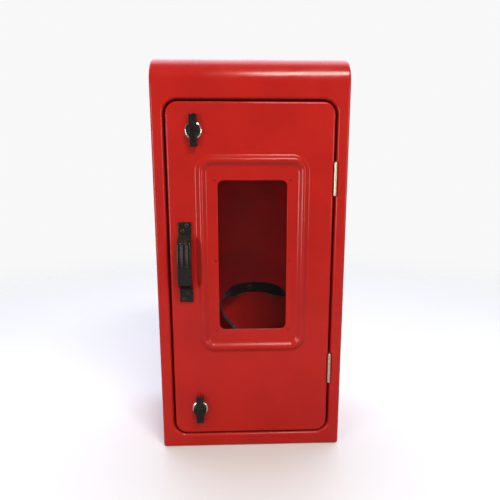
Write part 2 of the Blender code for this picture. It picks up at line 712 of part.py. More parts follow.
def wing_ring(y):
    """A cross-section of the latch wing, which falls towards its tips."""
    tip = abs(y) / (LATCH_WING_LENGTH / 2)
    half = LATCH_WING_WIDTH / 2 - LATCH_WING_TAPER * tip
    base = LATCH_FLANGE_WALL + 2 * TOUCH + LATCH_WING_LIFT
    top = base + LATCH_WING_WALL + LATCH_WING_FALL * (1 - tip ** 1.5)
    soft = LATCH_WING_SOFT
    return [(-half, y, base), (half, y, base), (half, y, top - soft), (half - soft, y, top),
            (-half + soft, y, top), (-half, y, top - soft)]


def build_latch(name, height, way, door_axis, skin, plastic, chrome, steel):
    """A quarter-turn latch whose cam points down (way -1) or up (way +1) while it is open."""
    face = (LATCH_X, FRONT, height)
    axis = pivot(f"{name}_axis", face, door_axis)

    flange = LATCH_FLANGE_RADIUS
    top = TOUCH + LATCH_FLANGE_WALL
    barrel_end = -(CAM_FRONT - 2 * TOUCH)
    housing = [(LATCH_BORE_RADIUS, top), (LATCH_BORE_RADIUS, barrel_end),
               (LATCH_BARREL_RADIUS, barrel_end), (LATCH_BARREL_RADIUS, TOUCH), (flange, TOUCH),
               (flange, 0.5 * top), (flange - 0.4 * LATCH_FLANGE_BEVEL, 0.85 * top),
               (flange - LATCH_FLANGE_BEVEL, top)]
    add(f"{name}_housing", turned_ring(housing), chrome, face, FACING_FRONT, door_axis)
    hole = prism(circle(LATCH_BARREL_RADIUS + TOUCH), -DOOR_WALL - CUT_SPARE, CUT_SPARE)
    combine(skin, tool(f"{name}_hole", hole, face, FACING_FRONT, door_axis))

    corner = NUT_ACROSS_FLATS / 2 / cos(radians(30))
    low = -DOOR_WALL - TOUCH - NUT_WALL
    hexagon = prism(circle(corner, 6), low, low + NUT_WALL)
    nut = add(f"{name}_nut", hexagon, steel, face, FACING_FRONT, door_axis)
    thread = prism(circle(LATCH_BARREL_RADIUS + TOUCH), 2 * low, 0)
    combine(nut, tool(f"{name}_nut_bore", thread, face, FACING_FRONT, door_axis))

    seat = top + TOUCH
    boss_top = seat + LATCH_BOSS_HEIGHT
    radius, soft = LATCH_BOSS_RADIUS, LATCH_BOSS_SOFT
    rim = boss_top - LATCH_BOSS_STEP
    boss = [(radius - soft, seat), (radius, seat + soft), (radius, rim - 2 * soft),
            (radius - 2 * soft, rim), (LATCH_DISC_RADIUS + soft, rim), (LATCH_DISC_RADIUS, boss_top)]
    handle = add(f"{name}_handle", turned(boss), plastic, face, FACING_FRONT, axis)
    half = LATCH_WING_LENGTH / 2
    wings = loft([wing_ring(half * share) for share in (-1, -0.8, -0.5, 0, 0.5, 0.8, 1)])
    combine(handle, tool(f"{name}_wings", wings, face, FACING_FRONT, axis), "UNION")
    side = SPINDLE_SIDE / 2
    spindle_end = -CAM_BACK + TOUCH
    spindle = block((-side, -side, spindle_end), (side, side, seat + SPINDLE_ROOT))
    combine(handle, tool(f"{name}_spindle", spindle, face, FACING_FRONT, axis), "UNION")
    socket = prism(circle(CAM_SCREW_RADIUS + TOUCH, SMALL_STEPS), spindle_end - CUT_SPARE,
                   spindle_end + CAM_SCREW_LENGTH + TOUCH)
    combine(handle, tool(f"{name}_socket", socket, face, FACING_FRONT, axis))

    middle = (0, way * (CAM_REACH - CAM_WIDTH / 2) / 2)
    arm = rounded_rectangle(CAM_WIDTH, CAM_REACH + CAM_WIDTH / 2, HALF_ROUND * CAM_WIDTH, middle)
    cam = add(f"{name}_cam", prism(arm, -CAM_BACK, -CAM_FRONT), steel, face, FACING_FRONT, axis)
    side += TOUCH
    square = block((-side, -side, -CAM_BACK - CUT_SPARE), (side, side, -CAM_FRONT + CUT_SPARE))
    combine(cam, tool(f"{name}_cam_square", square, face, FACING_FRONT, axis))

    head = -CAM_BACK - TOUCH
    root, tip = CAM_SCREW_HEX
    flange_end = head - CAM_SCREW_FLANGE_WALL
    screw = [(CAM_SCREW_RADIUS, spindle_end + CAM_SCREW_LENGTH), (CAM_SCREW_RADIUS, head),
             (CAM_SCREW_HEAD, head), (CAM_SCREW_HEAD, flange_end), (root, flange_end),
             (tip, head - CAM_SCREW_HEAD_WALL)]
    add(f"{name}_cam_screw", turned(screw, SMALL_STEPS), steel, face, FACING_FRONT, axis)


# ---------------------------------------------------------------- strap

def strap_middle(angle):
    """The loop's middle line at an angle from its top: full above, drawn to a point below."""
    x = STRAP_CENTRE_X + sin(angle) * (STRAP_HALF_WIDTH + STRAP_FULLNESS * cos(angle))
    x += STRAP_SWAY * (1 - cos(angle)) / 2
    z = STRAP_SCREW_Z - STRAP_HALF_HEIGHT * (1 - cos(angle))
    return x, z


def strap_stations():
    """Middle line from tail to tail as x, z and turn; both tails hang side by side under the point."""
    spread = (STRAP_WALL + STRAP_TAIL_GAP) / 2
    bottom_x = strap_middle(pi)[0]
    last = pi - (2 * spread / STRAP_FULLNESS) ** (1 / 3) * STRAP_MEETING
    loop = []
    for step in range(STRAP_STEPS + 1):
        angle = last * (2 * step / STRAP_STEPS - 1)
        x, z = strap_middle(angle)
        turned_share = min(max(abs(angle) - STRAP_FLAT_SPAN, 0) / STRAP_TWIST_SPAN, 1)
        twist = radians(90) * turned_share * turned_share * (3 - 2 * turned_share)
        loop.append((x, z, twist))
    low = loop[0][1]
    left = [(bottom_x - spread, low - STRAP_JOIN - STRAP_TAIL * share, radians(90)) for share in (1, 0.5, 0)]
    right = [(2 * bottom_x - x, z, twist) for x, z, twist in reversed(left)]
    return left + loop + right


def build_strap(panel, webbing, plastic, black_metal):
    """The webbing loop, the screw and washer it hangs from, and the keeper round its tails."""
    stations = strap_stations()
    rings = []
    for number, (x, z, twist) in enumerate(stations):
        before = stations[max(number - 1, 0)]
        after = stations[min(number + 1, len(stations) - 1)]
        along = Vector((after[0] - before[0], 0, after[1] - before[1])).normalized()
        outward = Vector((-along.z, 0, along.x))
        across = outward * cos(twist) + Vector((0, 1, 0)) * sin(twist)
        through = along.cross(across)
        room = STRAP_WALL / 2 * cos(twist) + STRAP_STANDOFF * sin(twist)
        middle = Vector((x, PANEL_FRONT - TOUCH - room, z))
        rings.append([middle + across * (STRAP_WIDTH / 2 * a) + through * (STRAP_WALL / 2 * b)
                      for a, b in ((1, 1), (-1, 1), (-1, -1), (1, -1))])
    strap = add("retaining_strap", loft(rings), webbing)

    grip = PANEL_WALL + STRAP_WALL + WASHER_WALL + 2 * TOUCH
    seat = (STRAP_SCREW_X, PANEL_FRONT + PANEL_WALL - grip, STRAP_SCREW_Z)
    hole = prism(circle(STRAP_SCREW_SHANK + TOUCH, SMALL_STEPS), -grip - CUT_SPARE, CUT_SPARE)
    hole = tool("strap_screw_hole", hole, seat, FACING_FRONT)
    combine(strap, hole)
    combine(panel, hole)
    inner = STRAP_SCREW_SHANK + TOUCH
    washer = [(inner, 0), (inner, -WASHER_WALL), (WASHER_RADIUS, -WASHER_WALL), (WASHER_RADIUS, 0)]
    add("strap_washer", turned_ring(washer), black_metal, seat, FACING_FRONT)
    head, rise = STRAP_SCREW_HEAD, STRAP_SCREW_HEAD_WALL
    shank = STRAP_SCREW_SHANK
    nut, tail = 1.6 * shank, -grip - TOUCH
    screw = [(0.3 * head, TOUCH + 0.65 * rise), (0.5 * head, TOUCH + rise), (0.8 * head, TOUCH + 0.8 * rise),
             (head, TOUCH + 0.35 * rise), (head, TOUCH), (shank, TOUCH), (shank, tail),
             (nut, tail - 0.15 * STRAP_SCREW_TAIL), (nut, tail - 0.85 * STRAP_SCREW_TAIL),
             (shank, tail - STRAP_SCREW_TAIL)]
    add("strap_screw", turned(screw, SMALL_STEPS), black_metal, seat, FACING_FRONT)

    bottom_x = strap_middle(pi)[0]
    low = stations[0][1] + KEEPER_RISE * STRAP_TAIL
    middle_y = PANEL_FRONT - TOUCH - STRAP_STANDOFF
    thick = 2 * STRAP_WALL + STRAP_TAIL_GAP + 2 * TOUCH
    wide = STRAP_WIDTH + 2 * TOUCH
    middle = (bottom_x, middle_y)
    slot = rounded_rectangle(thick, wide, KEEPER_SLOT_CORNER, middle, SMALL_CORNER_STEPS)
    outside = rounded_rectangle(thick + 2 * KEEPER_WALL, wide + 2 * KEEPER_WALL, KEEPER_CORNER, middle,
                                SMALL_CORNER_STEPS)
    rings = [at_height(outline, z) for outline, z in
             ((slot, low), (outside, low), (outside, low + KEEPER_HEIGHT), (slot, low + KEEPER_HEIGHT))]
    add("strap_keeper", loft(rings, looped=True), plastic)


# ---------------------------------------------------------------- assembly

def build():
    clear_scene()
    gelcoat = finish("red_gelcoat", (0.50, 0.018, 0.016), 0.22)
    inside = finish("interior_laminate", (0.40, 0.015, 0.015), 0.35)
    paint = finish("painted_rivet", (0.40, 0.015, 0.013), 0.3)
    acrylic = finish("clear_acrylic", (0.85, 0.88, 0.88), 0.05, alpha=0.25)
    rubber = finish("black_rubber", (0.02, 0.02, 0.02), 0.7)
    nylon = finish("black_nylon", (0.025, 0.020, 0.018), 0.35)
    webbing = finish("black_webbing", (0.015, 0.014, 0.014), 0.8)
    chrome = finish("chrome_plate", (0.75, 0.72, 0.66), 0.12, 1.0)
    nickel = finish("nickel_steel", (0.62, 0.58, 0.50), 0.32, 1.0)
    zinc = finish("zinc_steel", (0.63, 0.62, 0.58), 0.35, 1.0)
    black_metal = finish("black_steel", (0.05, 0.045, 0.04), 0.45)

    door_axis = pivot("door_axis", (HINGE_X, HINGE_Y, DOOR_CENTRE_Z))
    shell, panel = build_body(gelcoat, inside, rubber)
    skin = build_door(door_axis, gelcoat, acrylic, rubber, paint)
    build_handle(door_axis, skin, nylon, black_metal)
    door_top = DOOR_BOTTOM + DOOR_HEIGHT
    build_hinge("upper_hinge", door_top - HINGE_INSET, door_axis, shell, skin, nickel)
    build_hinge("lower_hinge", DOOR_BOTTOM + HINGE_INSET, door_axis, shell, skin, nickel)
    build_latch("upper_latch", door_top - LATCH_TOP_INSET, -1, door_axis, skin, nylon, chrome, zinc)
    build_latch("lower_latch", DOOR_BOTTOM + LATCH_BOTTOM_INSET, 1, door_axis, skin, nylon, chrome, zinc)
    build_strap(panel, webbing, nylon, black_metal)
    drill_wall_holes(shell, panel)


build()
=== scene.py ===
# %% [markdown]
# # A moulded wall cabinet for fire equipment
# The real cabinet is a box of glass-fibre plastic with a red gel coat, a door with a window, two
# quarter-turn latches, a pull handle, two pinned hinges and a strap inside for what is kept there.
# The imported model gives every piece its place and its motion. It could be shown as it is, but its
# curves are coarse, so each surface that light runs over is worked out again here as a fine one.

# %% Load the frame
import math

import bmesh
import bpy
import numpy as np
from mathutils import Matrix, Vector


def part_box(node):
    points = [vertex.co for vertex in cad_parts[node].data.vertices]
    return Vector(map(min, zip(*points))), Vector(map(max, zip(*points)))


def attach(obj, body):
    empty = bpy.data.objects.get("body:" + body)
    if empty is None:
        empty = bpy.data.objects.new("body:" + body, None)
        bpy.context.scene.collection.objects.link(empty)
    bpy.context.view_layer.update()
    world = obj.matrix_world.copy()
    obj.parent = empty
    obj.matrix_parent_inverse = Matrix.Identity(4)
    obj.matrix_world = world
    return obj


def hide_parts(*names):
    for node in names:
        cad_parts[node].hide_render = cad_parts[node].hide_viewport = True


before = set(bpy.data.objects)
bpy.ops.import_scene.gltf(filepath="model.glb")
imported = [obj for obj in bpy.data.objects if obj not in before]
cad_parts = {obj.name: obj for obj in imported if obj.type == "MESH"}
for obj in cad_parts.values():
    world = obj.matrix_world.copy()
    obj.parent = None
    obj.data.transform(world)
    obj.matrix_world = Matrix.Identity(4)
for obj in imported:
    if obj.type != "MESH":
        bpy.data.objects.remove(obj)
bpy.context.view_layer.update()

MM = 0.001
scene = bpy.context.scene


def box(node):
    """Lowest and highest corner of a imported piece, as arrays in metres."""
    return tuple(np.array(corner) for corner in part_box(node))


def middle(node):
    """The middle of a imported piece's box."""
    low, high = box(node)
    return (low + high) / 2


def face_on(node):
    """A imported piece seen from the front: its size and middle as (x, z), and the depth of its two faces."""
    low, high = box(node)
    return (high - low)[[0, 2]], middle(node)[[0, 2]], low[1], high[1]


# %% Name the planes that the pieces are set out from
BODY_LOW, BODY_HIGH = box("body_shell")
FRONT, BACK = BODY_LOW[1], BODY_HIGH[1]
WIDTH, _, HEIGHT = BODY_HIGH - BODY_LOW
DOOR_SIZE, DOOR_MIDDLE, DOOR_FACE, DOOR_REAR = face_on("door_skin")
DOOR_GAP = 4.5 * MM
WALL = 4 * MM                # the laminate's thickness
TOUCH = 0.3 * MM             # room between pieces that rest on each other
print("front", round(FRONT / MM, 1), "back", round(BACK / MM, 1))
print("door", np.round(DOOR_SIZE / MM, 1).tolist())

# %% [markdown]
# ## Camera, floor and light
# The camera stands a little to the left of the cabinet, higher than its middle and looking slightly
# down, with a wide lens, so the sides lean together towards the floor. A plain pale floor and a pale
# surround keep the eye on the object. Gloss shows only what it mirrors, so most of the light comes from
# a few soft lamps, placed where the flat door doesn't mirror them: they draw pale lines on the bead, the
# grip and the rolled edges. Cool light from behind gives the roof's far edge its pale rim.

# %% The camera
EYE = np.array([-24.485, -874.126, 557.513]) * MM
LENS = 27.36
LOOK_DOWN, LOOK_ASIDE, LEAN = math.radians(9.47), math.radians(1.727), math.radians(0.124)

camera_data = bpy.data.cameras.new("camera")
camera_data.lens = LENS
camera_data.sensor_width = 36
camera_data.clip_start = 10 * MM
camera = bpy.data.objects.new("camera", camera_data)
scene.collection.objects.link(camera)
camera.location = EYE
camera.rotation_euler = (math.radians(90) - LOOK_DOWN, LEAN, -LOOK_ASIDE)
scene.camera = camera
print("camera stands", round(float(FRONT - EYE[1]) / MM), "mm in front of the door")

# %% The floor
FLOOR_REACH = 30.0


def build_floor(height):
    """A wide square sheet just under the cabinet."""
    reach = FLOOR_REACH
    mesh = bpy.data.meshes.new("floor")
    mesh.from_pydata([(-reach, -reach, height), (reach, -reach, height), (reach, reach, height),
                      (-reach, reach, height)], [], [(0, 1, 2, 3)])
    floor = bpy.data.objects.new("floor", mesh)
    scene.collection.objects.link(floor)
    return floor


floor = build_floor(BODY_LOW[2] - 0.2 * MM)

# %% Put nodes together
def add_node(tree, kind, settings=None, inputs=None):
    """Adds a node; inputs maps a socket's name or number to a value or to another node's output."""
    node = tree.nodes.new(kind)
    for key, value in (settings or {}).items():
        setattr(node, key, value)
    for key, value in (inputs or {}).items():
        if isinstance(value, bpy.types.NodeSocket):
            tree.links.new(value, node.inputs[key])
        else:
            node.inputs[key].default_value = value
    return node


def calculate(tree, operation, *values, clamp=False):
    """The result of a Math node."""
    settings = {"operation": operation, "use_clamp": clamp}
    return add_node(tree, "ShaderNodeMath", settings, dict(enumerate(values))).outputs[0]


def remap(tree, value, low, high, to_low=0.0, to_high=1.0):
    """Eases a value from the range low to high into the range to_low to to_high."""
    ends = {0: value, 1: low, 2: high, 3: to_low, 4: to_high}
    return add_node(tree, "ShaderNodeMapRange", {"interpolation_type": "SMOOTHSTEP"}, ends).outputs[0]


def mixed_colour(tree, share, first, second):
    """First where share is 0 and second where it is 1."""
    return add_node(tree, "ShaderNodeMix", {"data_type": "RGBA"}, {0: share, 6: first, 7: second}).outputs[2]


# %% The surround and the lamps
SEEN_LEVEL = 0.94            # what the camera sees behind the cabinet
BEHIND_LEVEL = 1.8           # strong, cool light from behind catches the roof
BEFORE_LEVEL = 0.34          # a lit room in front, up to eye level
OVERHEAD_LEVEL = 0.22        # and its dark ceiling


BEHIND_SPAN = (-0.08, 0.30)  # from where to where the light grows strong and cool towards the back
CEILING_SPAN = (0.18, 0.50)  # from where to where the room darkens upwards
WARM, COOL = (1.0, 0.98, 0.95, 1), (0.80, 0.84, 1.0, 1)


def light_surround():
    """A room's worth of light by direction; the camera itself sees one plain tone."""
    world = bpy.data.worlds.new("studio")
    world.use_nodes = True
    tree = world.node_tree
    way = add_node(tree, "ShaderNodeTexCoord").outputs["Generated"]
    parts = add_node(tree, "ShaderNodeSeparateXYZ", None, {0: way}).outputs
    behind = remap(tree, parts["Y"], *BEHIND_SPAN, 0.0, BEHIND_LEVEL)
    before = remap(tree, parts["Z"], *CEILING_SPAN, BEFORE_LEVEL, OVERHEAD_LEVEL)
    tint = mixed_colour(tree, remap(tree, parts["Y"], *BEHIND_SPAN), WARM, COOL)
    graded = tree.nodes["Background"]
    tree.links.new(tint, graded.inputs["Color"])
    tree.links.new(calculate(tree, "MAXIMUM", behind, before), graded.inputs["Strength"])
    plain = add_node(tree, "ShaderNodeBackground", None, {"Color": (SEEN_LEVEL, SEEN_LEVEL, SEEN_LEVEL, 1)})
    seen = add_node(tree, "ShaderNodeLightPath").outputs["Is Camera Ray"]
    both = add_node(tree, "ShaderNodeMixShader", None, {0: seen, 1: graded.outputs[0], 2: plain.outputs[0]})
    tree.links.new(both.outputs[0], tree.nodes["World Output"].inputs["Surface"])
    scene.world = world


def lamp(name, place, target, size, watts, tint):
    """A soft square lamp at place that looks at target."""
    data = bpy.data.lights.new(name, "AREA")
    data.shape = "RECTANGLE"
    data.size, data.size_y = size
    data.energy = watts
    data.color = tint
    item = bpy.data.objects.new(name, data)
    scene.collection.objects.link(item)
    item.location = place
    way = np.array(target) - np.array(place)
    side = math.atan2(way[0], -way[1])
    item.rotation_euler = (math.acos(-way[2] / np.linalg.norm(way)), 0, side + math.pi)


light_surround()
CABINET_MIDDLE = (0, 0, HEIGHT / 2)
CABINET_FOOT = (0, 0, HEIGHT / 4)
lamp("key_lamp", (0.5, -1.35, 2.35), CABINET_MIDDLE, (0.9, 0.4), 36, (1, 0.96, 0.90))
lamp("left_lamp", (-1.9, -1.9, 0.6), CABINET_FOOT, (0.9, 1.2), 28, (1, 0.97, 0.93))
lamp("right_lamp", (1.9, -2.1, 0.8), CABINET_FOOT, (0.8, 1.2), 15, (1, 0.97, 0.93))
lamp("roof_lamp", (0, 0.9, 2.3), CABINET_MIDDLE, (2.4, 1.4), 12, (0.84, 0.88, 1))
scene.view_settings.view_transform = "Standard"
print("lamps:", sorted(light.name for light in bpy.data.lights))

# %% [markdown]
# ## From a formula to a mesh
# Three ways of making a surface cover nearly every piece: a profile carried round a rounded
# rectangle, a profile turned round an axis, and cross-sections set along a line. Each one works out
# a whole grid of points at once, with numpy, and one helper turns any such grid into a closed mesh.
# A value called rub is kept for every point: it is 1 on outer corners, where hands and cloths wear a
# finish first, and the materials read it later. On the rivets' rims it also sets where a painted highlight
# goes.

# %% Quads of a grid, and a mesh made from them
MERGE = 0.002 * MM
SMOOTH_ANGLE = math.radians(38)


def grid_quads(rows, columns, looped=False, round_columns=True):
    """Corner numbers of the quads between neighbouring rows, for points numbered row by row.

    looped joins the last row to the first, round_columns the last column to the first.
    """
    row = np.arange(rows if looped else rows - 1)[:, None]
    column = np.arange(columns if round_columns else columns - 1)[None, :]
    below, beside = (row + 1) % rows, (column + 1) % columns
    corners = [row * columns + column, row * columns + beside,
               below * columns + beside, below * columns + column]
    return np.stack(np.broadcast_arrays(*corners), axis=-1).reshape(-1, 4)


def make_piece(name, points, faces, rub=None, closed=True, weave=None):
    """An object from points and faces, its doubles merged and, where it is closed, its faces turned out.

    weave, where given, is a place on the flat cloth for every point, and becomes the UV map of that name.
    """
    mesh = bpy.data.meshes.new(name)
    mesh.from_pydata(np.asarray(points).reshape(-1, 3), [], faces)
    worn = np.zeros(len(mesh.vertices)) if rub is None else np.asarray(rub, dtype=float).ravel()
    mesh.attributes.new("rub", "FLOAT", "POINT").data.foreach_set("value", worn)
    if weave is not None:
        point_of_loop = np.empty(len(mesh.loops), dtype=int)
        mesh.loops.foreach_get("vertex_index", point_of_loop)
        mesh.uv_layers.new(name="weave").data.foreach_set("uv", weave.reshape(-1, 2)[point_of_loop].ravel())
    bm = bmesh.new()
    bm.from_mesh(mesh)
    bmesh.ops.remove_doubles(bm, verts=bm.verts, dist=MERGE)
    bmesh.ops.dissolve_degenerate(bm, edges=bm.edges, dist=MERGE)
    if closed:
        bmesh.ops.recalc_face_normals(bm, faces=bm.faces)
    bm.to_mesh(mesh)
    bm.free()
    soften_shading(mesh)
    piece = bpy.data.objects.new(name, mesh)
    scene.collection.objects.link(piece)
    return piece


def soften_shading(mesh):
    """Smooth shading that stops at real corners."""
    mesh.shade_smooth()
    mesh.set_sharp_from_angle(angle=SMOOTH_ANGLE)


def ring_faces(rings, looped):
    """Faces of a stack of rings: quads, and a flat cap at each end unless the stack is looped."""
    rows, columns = rings.shape[:2]
    faces = grid_quads(rows, columns, looped).tolist()
    if not looped:
        faces += [list(range(columns))[::-1], list(range((rows - 1) * columns, rows * columns))]
    return faces


def from_rings(name, rings, looped=False, rub=None):
    """A closed piece through rings of as many points each; rub has one value for each ring."""
    worn = None if rub is None else np.repeat(rub, rings.shape[1])
    return make_piece(name, rings, ring_faces(rings, looped), worn)


# %% Round the corners of a profile
def softened(profile, radius, looped=False, steps=4):
    """Rounds every corner of a profile and says how exposed each new point is.

    A corner P with neighbours A and B becomes the curve (1-s)^2 P1 + 2 s (1-s) P + s^2 P2, where P1 and
    P2 lie radius away from P towards A and B, or just under halfway if that is nearer. Gives the points
    and their rub, which is sin(pi s) on corners.
    """
    corner = np.array(profile, dtype=float)
    to_last = np.roll(corner, 1, axis=0) - corner
    to_next = np.roll(corner, -1, axis=0) - corner
    reach_last, reach_next = (np.linalg.norm(way, axis=1, keepdims=True) for way in (to_last, to_next))
    cut = np.minimum(np.minimum(reach_last, reach_next) * 0.48, np.reshape(radius, (-1, 1)))
    if not looped:
        cut[[0, -1]] = 0
    share = np.linspace(0, 1, steps + 1)[None, :, None]
    first = (corner + to_last / np.maximum(reach_last, 1e-9) * cut)[:, None]
    last = (corner + to_next / np.maximum(reach_next, 1e-9) * cut)[:, None]
    points = (1 - share) ** 2 * first + 2 * share * (1 - share) * corner[:, None] + share ** 2 * last
    rub = np.sin(np.pi * share) * (cut[:, None] > 0)
    return points.reshape(-1, 2), rub.reshape(-1)


# %% Carry a profile round a rounded rectangle
CORNER_STEPS = 20
QUADRANTS = np.array([[1, 1], [-1, 1], [-1, -1], [1, -1]])


def quarter_turns(steps):
    """Angles of four quarter circles, one row for each corner of a rectangle."""
    return (np.arange(4)[:, None] + np.linspace(0, 1, steps + 1)) * math.pi / 2


def outline(size, corner, centre=(0, 0), growth=0.0, steps=CORNER_STEPS):
    """Rounded rectangles, counter-clockwise: corner centre + (corner radius + growth) * (cos a, sin a).

    growth may be one number or an array of them, and gives one outline for each.
    """
    turn = quarter_turns(steps)
    pivots = QUADRANTS * (np.array(size) / 2 - corner) + np.array(centre)
    arc = np.stack([np.cos(turn), np.sin(turn)], axis=-1)
    radius = np.maximum(corner + np.asarray(growth, dtype=float), 0)[..., None, None, None]
    return (pivots[:, None] + radius * arc).reshape(*np.shape(growth), -1, 2)


def upright_rings(size, corner, centre, profile, steps=CORNER_STEPS):
    """Rings that face the front: each profile point (growth, depth) becomes the outline grown by growth
    and set at y = depth."""
    flat = outline(size, corner, centre, profile[:, 0], steps)
    depth = np.broadcast_to(profile[:, 1, None], flat.shape[:2])
    return np.stack([flat[..., 0], depth, flat[..., 1]], axis=-1)


def level_rings(size, corner, centre, profile, steps=CORNER_STEPS):
    """The same with outlines that lie flat, set at z = the profile's second number."""
    flat = outline(size, corner, centre, profile[:, 0], steps)
    height = np.broadcast_to(profile[:, 1, None], flat.shape[:2])
    return np.concatenate([flat, height[..., None]], axis=-1)


# %% Turn a profile round an axis
TURN_STEPS = 56
SIDE, DEEP, UP = np.eye(3)
AXES = {"front": (SIDE, UP, -DEEP), "right": (DEEP, UP, SIDE), "left": (-DEEP, UP, -SIDE),
        "up": (SIDE, DEEP, UP)}


def placed(local, centre, facing):
    """Local points x, y, z set out along three directions from a centre; local z looks the way it faces."""
    return np.array(centre) + local @ np.array(AXES[facing])


def turned_rings(profile, steps=TURN_STEPS):
    """Rings (radius cos a, radius sin a, height) for each profile point (radius, height)."""
    angle = 2 * np.pi * np.arange(steps) / steps
    radius, height = profile[:, 0, None], profile[:, 1, None]
    return np.stack(np.broadcast_arrays(radius * np.cos(angle), radius * np.sin(angle), height), axis=-1)


def turned(name, profile, centre, facing, radius=0.3 * MM, looped=False, steps=TURN_STEPS):
    """A turned piece. Its profile runs from the axis to the axis, or is a loop for a ring."""
    points, rub = softened(profile, radius, looped)
    rings = placed(turned_rings(points, steps), centre, facing)
    return from_rings(name, rings, looped, rub)


# %% Finish a piece: walls, cuts, bodies
def add_wall(piece, thickness, inside_material):
    """Gives an open skin its wall, away from the side that its faces look at, in the inside's material."""
    piece.data.materials.append(inside_material)
    wall = piece.modifiers.new("wall", "SOLIDIFY")
    wall.thickness = thickness
    wall.offset = -1
    wall.use_even_offset = True
    wall.use_quality_normals = True
    wall.material_offset = 1
    wall.material_offset_rim = 1


def settled(piece, cutters):
    """Cuts the cutters out, makes the modifiers' result the piece's own mesh and clears the cutters away."""
    for cutter in cutters:
        cut = piece.modifiers.new(cutter.name, "BOOLEAN")
        cut.operation = "DIFFERENCE"
        cut.object = cutter
    bpy.context.view_layer.update()
    graph = bpy.context.evaluated_depsgraph_get()
    mesh = bpy.data.meshes.new_from_object(piece.evaluated_get(graph))
    piece.modifiers.clear()
    piece.data = mesh
    mesh.name = piece.name
    soften_shading(mesh)
    discard(cutters)
    return piece


def discard(pieces):
    for piece in pieces:
        bpy.data.objects.remove(piece, do_unlink=True)


def joined(name, pieces):
    """One piece from several shells that are fixed together."""
    bm = bmesh.new()
    for piece in pieces:
        bm.from_mesh(piece.data)
    mesh = bpy.data.meshes.new(name)
    bm.to_mesh(mesh)
    bm.free()
    soften_shading(mesh)
    discard(pieces)
    whole = bpy.data.objects.new(name, mesh)
    scene.collection.objects.link(whole)
    return whole


def stand_for(piece, node, body, material=None):
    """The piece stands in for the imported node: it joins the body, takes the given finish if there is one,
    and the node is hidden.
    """
    if material is not None:
        piece.data.materials.clear()
        piece.data.materials.append(material)
    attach(piece, body)
    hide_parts(node)
    print(f"{piece.name}: {len(piece.data.polygons)} faces")
    return piece

# %% [markdown]
# ## Effects that several finishes share
# Gel coat, nylon, rubber and plated metal all gather dust on top, wear at their corners and drift a
# little in colour. Each of these effects is one node group with its own inputs, so that it is built
# once and every finish only chooses its amounts. All of them read the object's own coordinates in
# metres, so a pattern keeps its real size on every piece.

# %% Put nodes into groups
def noise(tree, vector, scale, detail=2.0, roughness=0.5):
    """Soft noise from 0 to 1 with this many waves to the metre."""
    node = add_node(tree, "ShaderNodeTexNoise", None,
                    {"Vector": vector, "Scale": scale, "Detail": detail, "Roughness": roughness})
    return node.outputs["Fac"]


def stretched(tree, vector, scale, turn=(0, 0, 0)):
    """Coordinates turned, then scaled by a different amount along each direction."""
    node = add_node(tree, "ShaderNodeMapping", None, {"Vector": vector, "Rotation": turn, "Scale": scale})
    return node.outputs[0]


def effect(name, inputs, outputs):
    """An empty node group; inputs and outputs list names and kinds of socket. Gives the tree, the sockets
    that bring values in and those that take results out."""
    tree = bpy.data.node_groups.new(name, "ShaderNodeTree")
    for side, sockets in (("INPUT", inputs), ("OUTPUT", outputs)):
        for socket, kind in sockets:
            tree.interface.new_socket(name=socket, in_out=side, socket_type=f"NodeSocket{kind}")
    return tree, tree.nodes.new("NodeGroupInput").outputs, tree.nodes.new("NodeGroupOutput").inputs


def use_effect(tree, group, **inputs):
    """Places an effect in a material; its outputs are read by name."""
    named = {key.replace("_", " ").capitalize(): value for key, value in inputs.items()}
    return add_node(tree, "ShaderNodeGroup", {"node_tree": group}, named).outputs


# %% Colour that drifts a little from place to place
def make_colour_drift():
    tree, given, result = effect(
        "colour drift", [("Vector", "Vector"), ("Base", "Color"), ("Drift", "Color"), ("Waves", "Float")],
        [("Color", "Color")])
    wide = noise(tree, given["Vector"], given["Waves"], 3.0, 0.55)
    share = remap(tree, wide, 0.35, 0.68)
    tree.links.new(mixed_colour(tree, share, given["Base"], given["Drift"]), result["Color"])
    return tree


# %% Dust that settles on what faces up
def make_settled_dust():
    """Dust is amount * up ^ 2 * patches, where up is the normal's upward share."""
    tree, given, result = effect("settled dust", [("Vector", "Vector"), ("Amount", "Float")],
                                 [("Mask", "Float")])
    facing = add_node(tree, "ShaderNodeSeparateXYZ", None,
                      {0: add_node(tree, "ShaderNodeTexCoord").outputs["Normal"]}).outputs["Z"]
    up = calculate(tree, "MAXIMUM", facing, 0.0)
    patches = remap(tree, noise(tree, given["Vector"], 60.0, 5.0, 0.62), 0.30, 0.70, 0.25, 1.0)
    specks = remap(tree, noise(tree, given["Vector"], 900.0, 1.0), 0.62, 0.74)
    film = calculate(tree, "MULTIPLY", calculate(tree, "MULTIPLY", up, up), patches)
    dust = calculate(tree, "MULTIPLY_ADD", specks, 0.25, film)
    tree.links.new(calculate(tree, "MULTIPLY", dust, given["Amount"], clamp=True), result["Mask"])
    return tree


# %% Corners rubbed by hands and cloths
def make_rubbed_corners():
    """The mask is how exposed a point is, broken up by noise, and cut off at a threshold."""
    tree, given, result = effect("rubbed corners", [("Vector", "Vector"), ("Threshold", "Float")],
                                 [("Mask", "Float"), ("Exposure", "Float")])
    exposed = add_node(tree, "ShaderNodeAttribute", {"attribute_name": "rub"}).outputs["Fac"]
    broken = noise(tree, given["Vector"], 260.0, 6.0, 0.7)
    both = calculate(tree, "MULTIPLY", exposed, calculate(tree, "ADD", broken, 0.4))
    edge = calculate(tree, "ADD", given["Threshold"], 0.12)
    tree.links.new(remap(tree, both, given["Threshold"], edge), result["Mask"])
    tree.links.new(exposed, result["Exposure"])
    return tree


